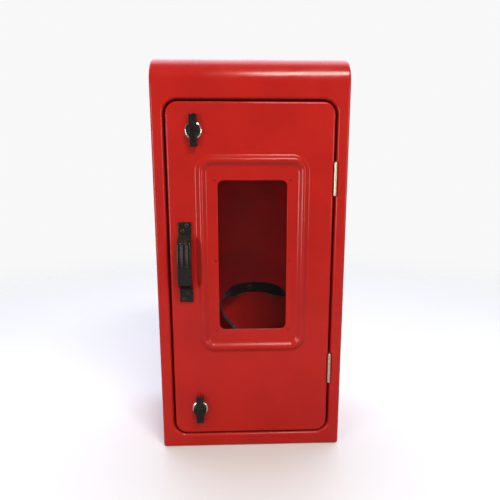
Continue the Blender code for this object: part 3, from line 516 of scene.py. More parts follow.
# %% Hairline scratches from wiping
def make_hairlines():
    """Two sets of lines, each a noise stretched seventy times along its own direction."""
    tree, given, result = effect("hairlines", [("Vector", "Vector"), ("Waves", "Float")], [("Mask", "Float")])
    lines = []
    for turn in ((0.2, 0.5, 0.9), (1.1, -0.7, -0.4)):
        along = stretched(tree, given["Vector"], (1.0, 1.0, 0.014), turn)
        lines.append(remap(tree, noise(tree, along, given["Waves"], 2.0), 0.66, 0.74))
    tree.links.new(calculate(tree, "MAXIMUM", *lines), result["Mask"])
    return tree


# %% The gentle ripple of a moulded gel coat
def make_coat_ripple():
    """Height is a long wave of about 30 mm with a fine orange peel of about 2 mm on it."""
    tree, given, result = effect("coat ripple", [("Vector", "Vector"), ("Peel", "Float")],
                                 [("Height", "Float")])
    long_wave = noise(tree, given["Vector"], 34.0, 1.0)
    peel = noise(tree, given["Vector"], 520.0, 1.0)
    height = calculate(tree, "MULTIPLY_ADD", peel, given["Peel"], long_wave)
    tree.links.new(height, result["Height"])
    return tree


# %% Chopped glass strands under a brushed coat
def make_strand_mat():
    """Strands are noises stretched in four directions; the highest of them lies on top."""
    tree, given, result = effect("strand mat", [("Vector", "Vector"), ("Waves", "Float")],
                                 [("Height", "Float"), ("Mask", "Float")])
    layers = []
    for turn in (0.3, 1.1, 1.9, 2.7):
        along = stretched(tree, given["Vector"], (1.0, 0.35, 0.09), (0.25, turn, 0.15))
        layers.append(noise(tree, along, given["Waves"], 1.5))
    top = layers[0]
    for layer in layers[1:]:
        top = calculate(tree, "MAXIMUM", top, layer)
    tree.links.new(top, result["Height"])
    tree.links.new(remap(tree, top, 0.58, 0.72), result["Mask"])
    return tree


# %% The fine grain of a nylon moulding
def make_moulded_grain():
    """Height is cellular noise under 1 mm, softened by a finer cloud."""
    tree, given, result = effect("moulded grain", [("Vector", "Vector"), ("Waves", "Float")],
                                 [("Height", "Float")])
    cells = add_node(tree, "ShaderNodeTexVoronoi", {"feature": "SMOOTH_F1"},
                     {"Vector": given["Vector"], "Scale": given["Waves"]}).outputs["Distance"]
    cloud = noise(tree, given["Vector"], given["Waves"], 3.0)
    tree.links.new(calculate(tree, "MULTIPLY_ADD", cloud, 0.6, cells), result["Height"])
    return tree


# %% A woven band
def make_woven_band():
    """Threads cross in a twill: a thread's height is |sin(pi u)| * |sin(pi (v + floor(u) / 2))|, where u
    counts warp threads across the band and v counts crossings along it."""
    tree, given, result = effect(
        "woven band", [("Vector", "Vector"), ("Across", "Float"), ("Along", "Float")],
        [("Height", "Float"), ("Valley shade", "Float")])
    parts = add_node(tree, "ShaderNodeSeparateXYZ", None, {0: given["Vector"]})
    warp = calculate(tree, "MULTIPLY", parts.outputs["X"], given["Across"])
    step = calculate(tree, "MULTIPLY", calculate(tree, "FLOOR", warp), 0.5)
    crossing = calculate(tree, "MULTIPLY_ADD", parts.outputs["Y"], given["Along"], step)
    waves = []
    for count in (warp, crossing):
        sine = calculate(tree, "SINE", calculate(tree, "MULTIPLY", count, math.pi))
        waves.append(calculate(tree, "ABSOLUTE", sine))
    height = calculate(tree, "MULTIPLY", *waves)
    fibres = noise(tree, stretched(tree, given["Vector"], (9.0, 1.0, 1.0)), 900.0, 2.0)
    tree.links.new(calculate(tree, "MULTIPLY_ADD", fibres, 0.25, height), result["Height"])
    # The valley mask is 1 in the gaps between threads, where the webbing gets painted shade.
    tree.links.new(remap(tree, height, 0.05, 0.5, 1.0, 0.0), result["Valley shade"])
    return tree


# %% Build the effects once
COLOUR_DRIFT = make_colour_drift()
SETTLED_DUST = make_settled_dust()
RUBBED_CORNERS = make_rubbed_corners()
HAIRLINES = make_hairlines()
COAT_RIPPLE = make_coat_ripple()
STRAND_MAT = make_strand_mat()
MOULDED_GRAIN = make_moulded_grain()
WOVEN_BAND = make_woven_band()
print("effects:", sorted(group.name for group in bpy.data.node_groups))

# %% [markdown]
# ## Finishes
# Every finish is a Principled shader whose colour, roughness and bump come from those effects. What is
# the same all over, such as the index of refraction or the amount of sheen, is set on the shader.

# %% Start a finish
DUST_COLOUR = (0.42, 0.36, 0.31, 1)


def start_finish(name, **constants):
    """A material with its Principled shader; constants name sockets of the shader. Gives material, tree,
    shader and the object coordinates."""
    material = bpy.data.materials.new(name)
    material.use_nodes = True
    tree = material.node_tree
    shader = tree.nodes["Principled BSDF"]
    for key, value in constants.items():
        shader.inputs[key.replace("_", " ")].default_value = value
    place = add_node(tree, "ShaderNodeTexCoord").outputs["Object"]
    return material, tree, shader, place


def bumped(tree, shader, height, distance):
    """Feeds a height, in steps of distance metres, to the shader as a bump."""
    bump = add_node(tree, "ShaderNodeBump", None, {"Height": height, "Distance": distance, "Strength": 1.0})
    tree.links.new(bump.outputs[0], shader.inputs["Normal"])


def feed(tree, shader, **sockets):
    """Links outputs to the shader's sockets by name."""
    for key, value in sockets.items():
        tree.links.new(value, shader.inputs[key.replace("_", " ")])


# %% Red gel coat, outside
def make_gel_coat(name, base, drift, smooth, dull, peel):
    """Glossy polyester coat: colour drift, a trace of dust, rubbed corners, wiping marks, mould ripple."""
    material, tree, shader, place = start_finish(name, IOR=1.5, Specular_IOR_Level=0.3)
    colour = use_effect(tree, COLOUR_DRIFT, vector=place, base=base, drift=drift, waves=7.0)["Color"]
    rubbed = use_effect(tree, RUBBED_CORNERS, vector=place, threshold=1.02)
    dust = use_effect(tree, SETTLED_DUST, vector=place, amount=0.08)["Mask"]
    lines = use_effect(tree, HAIRLINES, vector=place, waves=420.0)["Mask"]
    pale = tuple(min(1.0, 1.25 * part + 0.02) for part in base[:3]) + (1,)
    colour = mixed_colour(tree, calculate(tree, "MULTIPLY", rubbed["Mask"], 0.25), colour, pale)
    colour = mixed_colour(tree, dust, colour, DUST_COLOUR)
    cloud = remap(tree, noise(tree, place, 18.0, 4.0, 0.6), 0.3, 0.7, smooth, dull)
    rough = calculate(tree, "MULTIPLY_ADD", lines, 0.015, cloud)
    rough = calculate(tree, "MULTIPLY_ADD", dust, 0.6, rough)
    rough = calculate(tree, "MULTIPLY_ADD", rubbed["Mask"], 0.12, rough, clamp=True)
    feed(tree, shader, Base_Color=colour, Roughness=rough)
    bumped(tree, shader, use_effect(tree, COAT_RIPPLE, vector=place, peel=peel)["Height"], 0.10 * MM)
    return material


GEL_COAT = make_gel_coat("red gel coat", (0.45, 0.010, 0.005, 1), (0.40, 0.008, 0.005, 1), 0.17, 0.26, 0.04)

# %% Brushed red coat over glass mat, inside
def make_laminate():
    """The hand-laid side: strands print through a thick brushed coat, duller and stronger in colour."""
    material, tree, shader, place = start_finish("red brushed laminate", IOR=1.5, Specular_IOR_Level=0.15)
    base, drift = (0.66, 0.009, 0.009, 1), (0.56, 0.007, 0.009, 1)
    colour = use_effect(tree, COLOUR_DRIFT, vector=place, base=base, drift=drift, waves=14.0)["Color"]
    mat = use_effect(tree, STRAND_MAT, vector=place, waves=170.0)
    dust = use_effect(tree, SETTLED_DUST, vector=place, amount=0.35)["Mask"]
    thin = calculate(tree, "MULTIPLY", mat["Mask"], 0.18)
    colour = mixed_colour(tree, thin, colour, (0.58, 0.018, 0.016, 1))
    colour = mixed_colour(tree, dust, colour, DUST_COLOUR)
    rough = remap(tree, noise(tree, place, 40.0, 4.0, 0.6), 0.3, 0.7, 0.32, 0.50)
    feed(tree, shader, Base_Color=colour, Roughness=rough)
    brushed = noise(tree, stretched(tree, place, (1.0, 1.0, 0.12), (0, 0.15, 0)), 240.0, 3.0)
    height = calculate(tree, "MULTIPLY_ADD", brushed, 0.5, mat["Height"])
    bumped(tree, shader, height, 0.30 * MM)
    return material


LAMINATE = make_laminate()

# %% Clear acrylic sheet
def make_acrylic():
    """Glass-like sheet with wiping marks. A shadow ray meets a clear stand-in, so that lamps light what is
    behind the window."""
    material, tree, shader, place = start_finish("clear acrylic", IOR=1.13, Transmission_Weight=1.0)
    lines = use_effect(tree, HAIRLINES, vector=place, waves=300.0)["Mask"]
    haze = remap(tree, noise(tree, place, 30.0, 4.0, 0.6), 0.35, 0.7, 0.0, 0.02)
    rough = calculate(tree, "MULTIPLY_ADD", lines, 0.06, haze)
    tint = mixed_colour(tree, haze, (0.98, 0.985, 0.985, 1), (0.92, 0.93, 0.92, 1))
    feed(tree, shader, Base_Color=tint, Roughness=rough)
    bumped(tree, shader, noise(tree, place, 22.0, 1.0), 0.06 * MM)
    clear = add_node(tree, "ShaderNodeBsdfTransparent", None, {"Color": (0.96, 0.965, 0.965, 1)})
    shadow = add_node(tree, "ShaderNodeLightPath").outputs["Is Shadow Ray"]
    both = add_node(tree, "ShaderNodeMixShader", None, {0: shadow, 1: shader.outputs[0], 2: clear.outputs[0]})
    tree.links.new(both.outputs[0], tree.nodes["Material Output"].inputs["Surface"])
    return material


ACRYLIC = make_acrylic()

# %% Black rubber and black nylon
def make_rubber():
    """Foam rubber: matt, a little grey where it is pressed, with open pores."""
    material, tree, shader, place = start_finish("black rubber", IOR=1.45, Specular_IOR_Level=0.35)
    colour = use_effect(tree, COLOUR_DRIFT, vector=place, base=(0.014, 0.014, 0.014, 1),
                        drift=(0.030, 0.029, 0.028, 1), waves=90.0)["Color"]
    dust = use_effect(tree, SETTLED_DUST, vector=place, amount=0.25)["Mask"]
    pores = use_effect(tree, MOULDED_GRAIN, vector=place, waves=1400.0)["Height"]
    rough = remap(tree, pores, 0.2, 0.9, 0.62, 0.82)
    feed(tree, shader, Base_Color=mixed_colour(tree, dust, colour, DUST_COLOUR), Roughness=rough)
    bumped(tree, shader, pores, 0.12 * MM)
    return material


def make_nylon(name, smooth, dull):
    """Moulded nylon: deep black, semi-gloss, polished where it is handled, fine grain elsewhere."""
    material, tree, shader, place = start_finish(name, IOR=1.53, Specular_IOR_Level=0.3)
    colour = use_effect(tree, COLOUR_DRIFT, vector=place, base=(0.0060, 0.0038, 0.0028, 1),
                        drift=(0.0100, 0.0068, 0.0052, 1), waves=120.0)["Color"]
    rubbed = use_effect(tree, RUBBED_CORNERS, vector=place, threshold=0.80)
    dust = use_effect(tree, SETTLED_DUST, vector=place, amount=0.06)["Mask"]
    lines = use_effect(tree, HAIRLINES, vector=place, waves=900.0)["Mask"]
    polish = calculate(tree, "MULTIPLY", rubbed["Mask"], 0.5)
    colour = mixed_colour(tree, polish, colour, (0.035, 0.028, 0.024, 1))
    colour = mixed_colour(tree, dust, colour, DUST_COLOUR)
    cloud = remap(tree, noise(tree, place, 150.0, 4.0, 0.6), 0.3, 0.7, smooth, dull)
    rough = calculate(tree, "MULTIPLY_ADD", lines, 0.10, cloud, clamp=True)
    feed(tree, shader, Base_Color=colour, Roughness=rough)
    bumped(tree, shader, use_effect(tree, MOULDED_GRAIN, vector=place, waves=1900.0)["Height"], 0.010 * MM)
    return material


RUBBER = make_rubber()
NYLON = make_nylon("black nylon", 0.18, 0.30)

# %% Plated and bare metals
DRAWN_GRAIN = (1.0, 1.0, 0.05)


def make_metal(name, base, drift, smooth, dull, depth=0.012 * MM):
    """Metal with a drawn grain, stains that dull it, and corners rubbed bright."""
    material, tree, shader, place = start_finish(name, Metallic=1.0)
    colour = use_effect(tree, COLOUR_DRIFT, vector=place, base=base, drift=drift, waves=140.0)["Color"]
    rubbed = use_effect(tree, RUBBED_CORNERS, vector=place, threshold=0.55)["Mask"]
    dust = use_effect(tree, SETTLED_DUST, vector=place, amount=0.10)["Mask"]
    bright = tuple(min(1.0, part * 1.12 + 0.03) for part in base[:3]) + (1,)
    colour = mixed_colour(tree, rubbed, colour, bright)
    drawn = noise(tree, stretched(tree, place, DRAWN_GRAIN), 2600.0, 3.0, 0.6)
    stains = remap(tree, noise(tree, place, 320.0, 5.0, 0.65), 0.45, 0.75, 0.0, 0.16)
    rough = calculate(tree, "ADD", remap(tree, drawn, 0.3, 0.7, smooth, dull), stains)
    rough = calculate(tree, "MULTIPLY_ADD", dust, 0.5, rough, clamp=True)
    feed(tree, shader, Base_Color=mixed_colour(tree, dust, colour, DUST_COLOUR), Roughness=rough)
    bumped(tree, shader, drawn, depth)
    return material


CHROME = make_metal("chrome plate", (0.70, 0.62, 0.52, 1), (0.60, 0.53, 0.44, 1), 0.08, 0.14, 0.003 * MM)
NICKEL = make_metal("nickel-plated steel", (0.70, 0.62, 0.50, 1), (0.60, 0.53, 0.43, 1), 0.24, 0.36)
ZINC = make_metal("zinc-plated steel", (0.66, 0.65, 0.61, 1), (0.54, 0.54, 0.53, 1), 0.28, 0.42)
BLACK_STEEL = make_metal("black-finished steel", (0.075, 0.070, 0.065, 1), (0.050, 0.046, 0.043, 1),
                         0.38, 0.50)

# %% Paint on rivets, with bare rims that are partly a painted highlight
def make_painted_metal(name, paint, drift, bare_rim_and_highlight, threshold, smooth, dull):
    """Paint on a rivet, gone from its rim, where the bare rim's colour is also a painted highlight: the
    paint's mask drives both colour and metallic.
    """
    material, tree, shader, place = start_finish(name, IOR=1.5, Specular_IOR_Level=0.25)
    worn = use_effect(tree, RUBBED_CORNERS, vector=place, threshold=threshold)["Mask"]
    coat = use_effect(tree, COLOUR_DRIFT, vector=place, base=paint, drift=drift, waves=500.0)["Color"]
    dust = use_effect(tree, SETTLED_DUST, vector=place, amount=0.06)["Mask"]
    colour = mixed_colour(tree, dust, mixed_colour(tree, worn, coat, bare_rim_and_highlight), DUST_COLOUR)
    rough = remap(tree, noise(tree, place, 900.0, 3.0), 0.3, 0.7, smooth, dull)
    feed(tree, shader, Base_Color=colour, Metallic=worn, Roughness=rough)
    bumped(tree, shader, noise(tree, place, 1500.0, 2.0), 0.02 * MM)
    return material


# Window rivets: paint darker than the door's coat as painted shade, and a pale pink bare rim that is partly a
# painted highlight.
RED_RIVET = make_painted_metal("red rivet", (0.30, 0.006, 0.004, 1), (0.24, 0.005, 0.004, 1),
                               (0.60, 0.40, 0.34, 1), 1.05, 0.28, 0.42)
# Handle rivets: black paint, and a brownish bare rim that is partly a painted highlight.
BLACK_RIVET = make_painted_metal("black rivet", (0.022, 0.014, 0.010, 1), (0.038, 0.024, 0.017, 1),
                                 (0.20, 0.13, 0.09, 1), 0.80, 0.34, 0.48)

# %% Woven black webbing
def make_webbing():
    """Polyester webbing: threads from the strap's own UV map, in metres across and along; painted shade
    darkens the gaps.
    """
    material, tree, shader, _ = start_finish("black webbing", IOR=1.45, Specular_IOR_Level=0.3,
                                             Sheen_Weight=0.25, Sheen_Roughness=0.4)
    shader.inputs["Sheen Tint"].default_value = (0.45, 0.42, 0.40, 1)
    cloth = add_node(tree, "ShaderNodeUVMap", {"uv_map": "weave"}).outputs[0]
    weave = use_effect(tree, WOVEN_BAND, vector=cloth, across=1150.0, along=620.0)
    thread = use_effect(tree, COLOUR_DRIFT, vector=cloth, base=(0.013, 0.012, 0.012, 1),
                        drift=(0.024, 0.022, 0.021, 1), waves=160.0)["Color"]
    # Painted shade: a near-black colour mixed into the gaps between threads by the valley mask.
    colour = mixed_colour(tree, weave["Valley shade"], thread, (0.004, 0.004, 0.004, 1))
    fluff = remap(tree, noise(tree, cloth, 2200.0, 3.0), 0.62, 0.78, 0.0, 0.35)
    colour = mixed_colour(tree, fluff, colour, (0.09, 0.08, 0.075, 1))
    feed(tree, shader, Base_Color=colour, Roughness=remap(tree, weave["Height"], 0.0, 1.0, 0.92, 0.66))
    bumped(tree, shader, weave["Height"], 0.35 * MM)
    return material


WEBBING = make_webbing()
print("finishes:", len(bpy.data.materials))

# %% Floor finish
FLOOR_FADE = (0.5, 2.6)      # metres from the cabinet between which the floor fades out


def make_floor_finish():
    """Pale matt floor with hardly visible cloudiness, which fades into the surround away from the cabinet.
    Gloss and bounced light meet a darker floor than the eye does, as if a cloth lay there."""
    material, tree, shader, place = start_finish("pale floor", Specular_IOR_Level=0.2)
    colour = use_effect(tree, COLOUR_DRIFT, vector=place, base=(0.82, 0.82, 0.82, 1),
                        drift=(0.80, 0.80, 0.795, 1), waves=1.5)["Color"]
    seen = add_node(tree, "ShaderNodeLightPath").outputs["Is Camera Ray"]
    colour = mixed_colour(tree, seen, (0.42, 0.41, 0.40, 1), colour)
    away = add_node(tree, "ShaderNodeVectorMath", {"operation": "LENGTH"}, {0: place}).outputs["Value"]
    rough = remap(tree, noise(tree, place, 9.0), 0.3, 0.7, 0.75, 0.85)
    feed(tree, shader, Base_Color=colour, Roughness=rough, Alpha=remap(tree, away, *FLOOR_FADE, 1.0, 0.0))
    return material


floor.data.materials.append(make_floor_finish())

# %% [markdown]
# ## The body
# The body is one moulding: a box whose roof rolls over into the front in a wide arc, with a small
# radius on every other edge. It could be cut from a block with bevels, but the roll and the small
# radii meet at the sides, and only a side profile set out across the width keeps them exact. So the
# outside is that profile, drawn in towards the sides by a quarter circle. The flat front and the flat
# back are left out and filled by bands that run to the door opening and to the opening behind.

# %% The side profile, from the front's lower edge over the roof to the back
EDGE = 5 * MM                # outer radius of a moulded edge: the wall and 1 mm
NOSE = 54 * MM
SUPPORT = 1 * MM             # a narrow strip beside each curve keeps the flat faces flat to the light
EDGE_STEPS = 8
NOSE_STEPS = 48
PROFILE_CORNERS = (          # centre y, centre z, radius, first and last angle, steps
    (FRONT + EDGE, EDGE, EDGE, 270, 180, EDGE_STEPS),
    (FRONT + NOSE, HEIGHT - NOSE, NOSE, 180, 90, NOSE_STEPS),
    (BACK - EDGE, HEIGHT - EDGE, EDGE, 90, 0, EDGE_STEPS),
    (BACK - EDGE, EDGE, EDGE, 0, -90, EDGE_STEPS))


def side_profile(inset):
    """Profile points (y, z) for each inset: arcs centre + (radius - inset) * (cos a, sin a), with a support
    point just before and just after each. Where the inset passes the radius, the centre moves inwards."""
    inset = np.asarray(inset, dtype=float)[:, None, None]
    stretches = []
    for y, z, radius, first, last, steps in PROFILE_CORNERS:
        angle = np.radians(np.linspace(first, last, steps + 1))
        normal = np.stack([np.cos(angle), np.sin(angle)], axis=-1)
        inwards = -(normal[0] + normal[-1])
        arc = np.maximum(radius - inset, 0) * normal + np.maximum(inset - radius, 0) * inwards + (y, z)
        tangent = np.stack([normal[:, 1], -normal[:, 0]], axis=-1)
        before, after = arc[:, :1] - SUPPORT * tangent[0], arc[:, -1:] + SUPPORT * tangent[-1]
        stretches.append(np.concatenate([before, arc, after], axis=1))
    return np.concatenate(stretches, axis=1)


print("side profile:", sum(steps + 3 for *_, steps in PROFILE_CORNERS), "points")

# %% The outside skin across the width
def skin_across():
    """Points of the skin: stations across the width, each drawn in by its edge's quarter circle."""
    turn = np.linspace(0, np.pi / 2, EDGE_STEPS + 1)
    inset = EDGE * (1 - np.sin(turn))
    reach = WIDTH / 2 - EDGE + EDGE * np.cos(turn)
    x = np.concatenate([-reach, [-(WIDTH / 2 - EDGE - SUPPORT), WIDTH / 2 - EDGE - SUPPORT], reach[::-1]])
    inset = np.concatenate([[EDGE + SUPPORT], inset, [0, 0], inset[::-1], [EDGE + SUPPORT]])
    x = np.concatenate([[-WIDTH / 2], x, [WIDTH / 2]])
    profile = side_profile(inset)
    across = np.broadcast_to(x[:, None, None], (*profile.shape[:2], 1))
    return np.concatenate([across, profile], axis=2), inset


def flat_faces(points, quads):
    """True for the quads that lie in the flat front or the flat back, inside the rounded sides."""
    centre = points.reshape(-1, 3)[quads].mean(axis=1)
    inside = np.abs(centre[:, 0]) < WIDTH / 2 - EDGE
    front = (np.abs(centre[:, 1] - FRONT) < MERGE) & (centre[:, 2] > EDGE) & (centre[:, 2] < HEIGHT - NOSE)
    back = (np.abs(centre[:, 1] - BACK) < MERGE) & (centre[:, 2] > EDGE) & (centre[:, 2] < HEIGHT - EDGE)
    return inside & (front | back)


def frame_ring(low, high, inset):
    """A rectangle's corners as a ring that matches an outline's points, with a support point at both ends of
    each corner. low and high are (x, z)."""
    low, high = np.array(low) + inset, np.array(high) - inset
    corner = np.array([high, (low[0], high[1]), low, (high[0], low[1])])
    ring = np.repeat(corner[:, None], CORNER_STEPS + 1, axis=1)
    if inset == 0:
        along = np.array([[0, -1], [1, 0], [0, 1], [-1, 0]])
        ring[:, 0] += SUPPORT * along
        ring[:, -1] += SUPPORT * np.roll(along, -1, axis=0)
    return ring.reshape(-1, 2)


def upright(flat, depth):
    """Points (x, z) set at y = depth."""
    return np.stack([flat[:, 0], np.full(len(flat), depth), flat[:, 1]], axis=-1)


# %% The door opening and the opening behind
OPENING = DOOR_SIZE + 2 * DOOR_GAP
OPENING_CORNER = 28.5 * MM
REBATE = 30 * MM             # from the front to the stop that the gasket lies on
STOP = 18 * MM
REAR_OPENING = np.array([WIDTH, HEIGHT]) - 2 * 34 * MM
REAR_CORNER = 12 * MM


def front_band():
    """Rings from the flat front's border over the rolled edge and down the rebate to the stop's edge."""
    roll = np.linspace(0, np.pi / 2, EDGE_STEPS + 1)
    growth = np.concatenate([[EDGE + SUPPORT], EDGE * (1 - np.sin(roll)), [0, 0, -SUPPORT, -STOP]])
    depth = FRONT + np.concatenate([[0], EDGE * (1 - np.cos(roll)), [EDGE + SUPPORT, REBATE, REBATE, REBATE]])
    rub = np.concatenate([[0], np.sin(2 * roll), [0, 0, 0, 0]])
    rings = upright_rings(OPENING, OPENING_CORNER, DOOR_MIDDLE, np.stack([growth, depth], axis=1))
    low, high = (-WIDTH / 2 + EDGE, EDGE), (WIDTH / 2 - EDGE, HEIGHT - NOSE)
    border = [upright(frame_ring(low, high, inset), FRONT) for inset in (0, SUPPORT)]
    return np.concatenate([border, rings]), np.concatenate([[0, 0], rub])


def rear_band():
    """Rings from the flat back's border to the opening behind, which faces the other way."""
    low, high = (-WIDTH / 2 + EDGE, EDGE), (WIDTH / 2 - EDGE, HEIGHT - EDGE)
    border = [upright(frame_ring(low, high, inset), BACK) for inset in (0, SUPPORT)]
    hole = upright_rings(REAR_OPENING, REAR_CORNER, (0, HEIGHT / 2), np.array([[0, BACK]]))
    return np.concatenate([border, hole])[::-1]


# %% Cutters for the hinge notches and the wall bolts
HINGE_NODES = ("upper_hinge", "lower_hinge")
NOTCH_WIDTH = 11.5 * MM
NOTCH_SPARE = 4 * MM
NOTCH_FLOOR = FRONT + 3 * MM
NOTCH_RUN = 8 * MM           # the cut starts this far in front
NOTCH_SOFT, NOTCH_MIDWAY = 1 * MM, 0.3 * MM
BOLT_RADIUS = 4.5 * MM
BOLT_INSET = 20 * MM
BOLT_REACH, BOLT_SPARE = 12 * MM, 2 * MM


def notch_cutters():
    """A round-ended trough in front of each hinge, cut into body and door alike."""
    cutters = []
    for hinge in HINGE_NODES:
        x, _, z = middle(f"{hinge}_pin")
        low, high = box(f"{hinge}_frame_leaf")
        size = (NOTCH_WIDTH, high[2] - low[2] + 2 * NOTCH_SPARE)
        profile = np.array([[0, FRONT - NOTCH_RUN], [0, NOTCH_FLOOR - NOTCH_SOFT],
                            [-NOTCH_MIDWAY, NOTCH_FLOOR - NOTCH_MIDWAY], [-NOTCH_SOFT, NOTCH_FLOOR]])
        rings = upright_rings(size, NOTCH_WIDTH / 2 - 0.1 * MM, (x, z), profile)
        cutters.append(from_rings(f"{hinge}_notch", rings))
    return cutters


def bolt_cutters():
    """Round holes through the back near its corners."""
    cutters = []
    for x in (-WIDTH / 2 + BOLT_INSET, WIDTH / 2 - BOLT_INSET):
        for z in (BOLT_INSET, HEIGHT - BOLT_INSET):
            profile = [(0, -BOLT_REACH), (BOLT_RADIUS, -BOLT_REACH),
                       (BOLT_RADIUS, BOLT_SPARE), (0, BOLT_SPARE)]
            rings = turned_rings(np.array(profile))[..., [0, 2, 1]] + np.array([x, BACK, z])
            cutters.append(from_rings("bolt_hole", rings))
    return cutters


# %% Put the body together
def build_body():
    skin, inset = skin_across()
    stations, around = skin.shape[:2]
    quads = grid_quads(stations, around)
    quads = quads[~flat_faces(skin, quads)].tolist()
    ends = [list(range(around))[::-1], list(range((stations - 1) * around, stations * around))]
    rub = np.repeat(np.sin(np.pi * np.clip(inset / EDGE, 0, 1)), around)
    points = [skin.reshape(-1, 3)]
    faces = quads + ends
    for band, worn in (front_band(), (rear_band(), np.zeros(3))):
        start = sum(len(part) for part in points)
        faces += (grid_quads(*band.shape[:2]) + start).tolist()
        points.append(band.reshape(-1, 3))
        rub = np.concatenate([rub, np.repeat(worn, band.shape[1])])
    body = make_piece("moulded_body", np.concatenate(points), faces, rub)
    body.data.materials.append(GEL_COAT)
    add_wall(body, WALL, LAMINATE)
    return settled(body, notch_cutters() + bolt_cutters())


stand_for(build_body(), "body_shell", "cabinet")

# %% [markdown]
# ## Back panel and gasket
# A flat laminate sheet is bonded to the back flange from inside and closes the opening behind. The
# gasket is a strip of foam rubber glued to the stop. Both could be plain blocks, but a sheet has a
# trimmed edge and a rubber strip has a crowned face, and both show once the door stands open.

# %% A flat sheet with soft edges
def sheet_piece(name, node, corner, edge, steps=CORNER_STEPS):
    """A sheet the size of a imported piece: its profile runs over the front edge and back at the rear."""
    size, centre, face, rear = face_on(node)
    profile, rub = softened([(-3 * edge, face), (0, face), (0, rear), (-3 * edge, rear)], edge)
    return from_rings(name, upright_rings(size, corner, centre, profile, steps), rub=rub)


def build_back_panel():
    panel = sheet_piece("laminate_back_panel", "back_panel", 3 * MM, 0.8 * MM)
    panel.data.materials.append(LAMINATE)
    return settled(panel, bolt_cutters())


stand_for(build_back_panel(), "back_panel", "cabinet")

# %% The gasket strip
GASKET_CORNER = OPENING_CORNER - 1.8 * MM
GASKET_WIDTH, GASKET_GROOVE = 11 * MM, 0.9 * MM


def build_gasket():
    """A crowned strip: flat where it is glued, domed towards the door with a groove down its middle."""
    size, centre, face, rear = face_on("door_gasket")
    share = np.linspace(0, 1, 21)
    crown = ((rear - face) * (0.80 + 0.20 * np.sin(np.pi * share) ** 0.5)
             - GASKET_GROOVE * np.exp(-((share - 0.5) / 0.09) ** 2))
    top = np.stack([-GASKET_WIDTH * share, rear - crown], axis=1)
    profile = np.concatenate([[(0, rear)], top, [(-GASKET_WIDTH, rear)]])
    return from_rings("foam_gasket", upright_rings(size, GASKET_CORNER, centre, profile), looped=True)


stand_for(build_gasket(), "door_gasket", "cabinet", RUBBER)

# %% [markdown]
# ## The door
# The door is a second moulding: a tray whose edge turns back into the opening, with a raised bead round
# the window that stiffens it and throws rain clear. Its whole outer side is one profile carried round a
# rounded rectangle, first round the door's outline and then round the bead's. The two outlines have
# their points in the same order, so the flat panel between them fills itself.

# %% Window and bead
WINDOW = np.array([136, 303]) * MM
WINDOW_CORNER = 12 * MM
WINDOW_MIDDLE = middle("window_pane")[[0, 2]]
LAND = np.array([19.5, 25.5]) * MM      # flat rim between the window and the bead: at the sides, at the ends
BEAD_WIDTH = 25 * MM
BEAD_HEIGHT = FRONT - DOOR_FACE
BEAD_CORNER = 35 * MM
BEAD_STEPS = 28
DOOR_CORNER = 24 * MM
DOOR_EDGE = 4.5 * MM
DOOR_RETURN = DOOR_REAR - FRONT


def bead_profile():
    """Profile (growth, depth) over the bead: it rises as the square of a sine, so it starts and ends flat."""
    share = np.linspace(0, 1, BEAD_STEPS + 1)
    return np.stack([-share * BEAD_WIDTH, FRONT - BEAD_HEIGHT * np.sin(np.pi * share) ** 2], axis=1)


def edge_profile():
    """Profile (growth, depth) up the door's return and round its edge by a quarter circle."""
    turn = np.linspace(0, np.pi / 2, EDGE_STEPS + 1)
    roll = np.stack([DOOR_EDGE * (np.cos(turn) - 1), FRONT + DOOR_EDGE * (1 - np.sin(turn))], axis=1)
    start = [(0, FRONT + DOOR_RETURN), (0, FRONT + DOOR_EDGE + SUPPORT)]
    return np.concatenate([start, roll, [(-DOOR_EDGE - SUPPORT, FRONT)]])


def window_profile():
    """Profile (growth, depth) over the window's trimmed edge."""
    turn = np.linspace(0, np.pi / 2, 5)
    trim = 1.2 * MM
    roll = np.stack([trim * (1 - np.sin(turn)), FRONT + trim * (1 - np.cos(turn))], axis=1)
    return np.concatenate([[(trim + SUPPORT, FRONT)], roll])


def exposure(profile):
    """How sharply a profile turns at each of its points, from 0 to 1."""
    way = np.diff(profile, axis=0)
    angle = np.unwrap(np.arctan2(way[:, 1], way[:, 0]))
    bend = np.abs(np.diff(angle))
    return np.concatenate([[0], np.clip(bend / np.radians(11), 0, 1), [0]])


# %% Put the door together
def build_door():
    bead_size = WINDOW + 2 * (LAND + BEAD_WIDTH)
    lead_in = np.array([[SUPPORT, FRONT]])
    lead_out = np.array([[-BEAD_WIDTH - SUPPORT, FRONT]])
    bead = np.concatenate([lead_in, bead_profile(), lead_out])
    edge, window = edge_profile(), window_profile()
    rings = [upright_rings(DOOR_SIZE, DOOR_CORNER, DOOR_MIDDLE, edge),
             upright_rings(bead_size, BEAD_CORNER, WINDOW_MIDDLE, bead),
             upright_rings(WINDOW, WINDOW_CORNER, WINDOW_MIDDLE, window)]
    rings = np.concatenate(rings)
    rub = np.concatenate([exposure(edge), 0.4 * exposure(bead), exposure(window)])
    door = make_piece("moulded_door", rings, grid_quads(*rings.shape[:2]).tolist(),
                      np.repeat(rub, rings.shape[1]), closed=False)
    door.data.materials.append(GEL_COAT)
    add_wall(door, WALL, LAMINATE)
    return settled(door, notch_cutters())


stand_for(build_door(), "door_skin", "door")
print("bead:", round(BEAD_HEIGHT / MM, 1), "mm high")

# %% The window's sheet and its seal
def build_seal():
    """A thin rubber strip between the door and the sheet."""
    size, centre, face, rear = face_on("window_seal")
    inner = ((WINDOW - size) / 2 + 1 * MM)[0]
    profile, rub = softened([(0, face), (inner, face), (inner, rear), (0, rear)], 0.3 * MM, True)
    rings = upright_rings(size, WINDOW_CORNER - inner, centre, profile)
    return from_rings("rubber_window_seal", rings, True, rub)


stand_for(sheet_piece("acrylic_pane", "window_pane", 6 * MM, 0.5 * MM, 8), "window_pane", "door",
          ACRYLIC)
stand_for(build_seal(), "window_seal", "door", RUBBER)
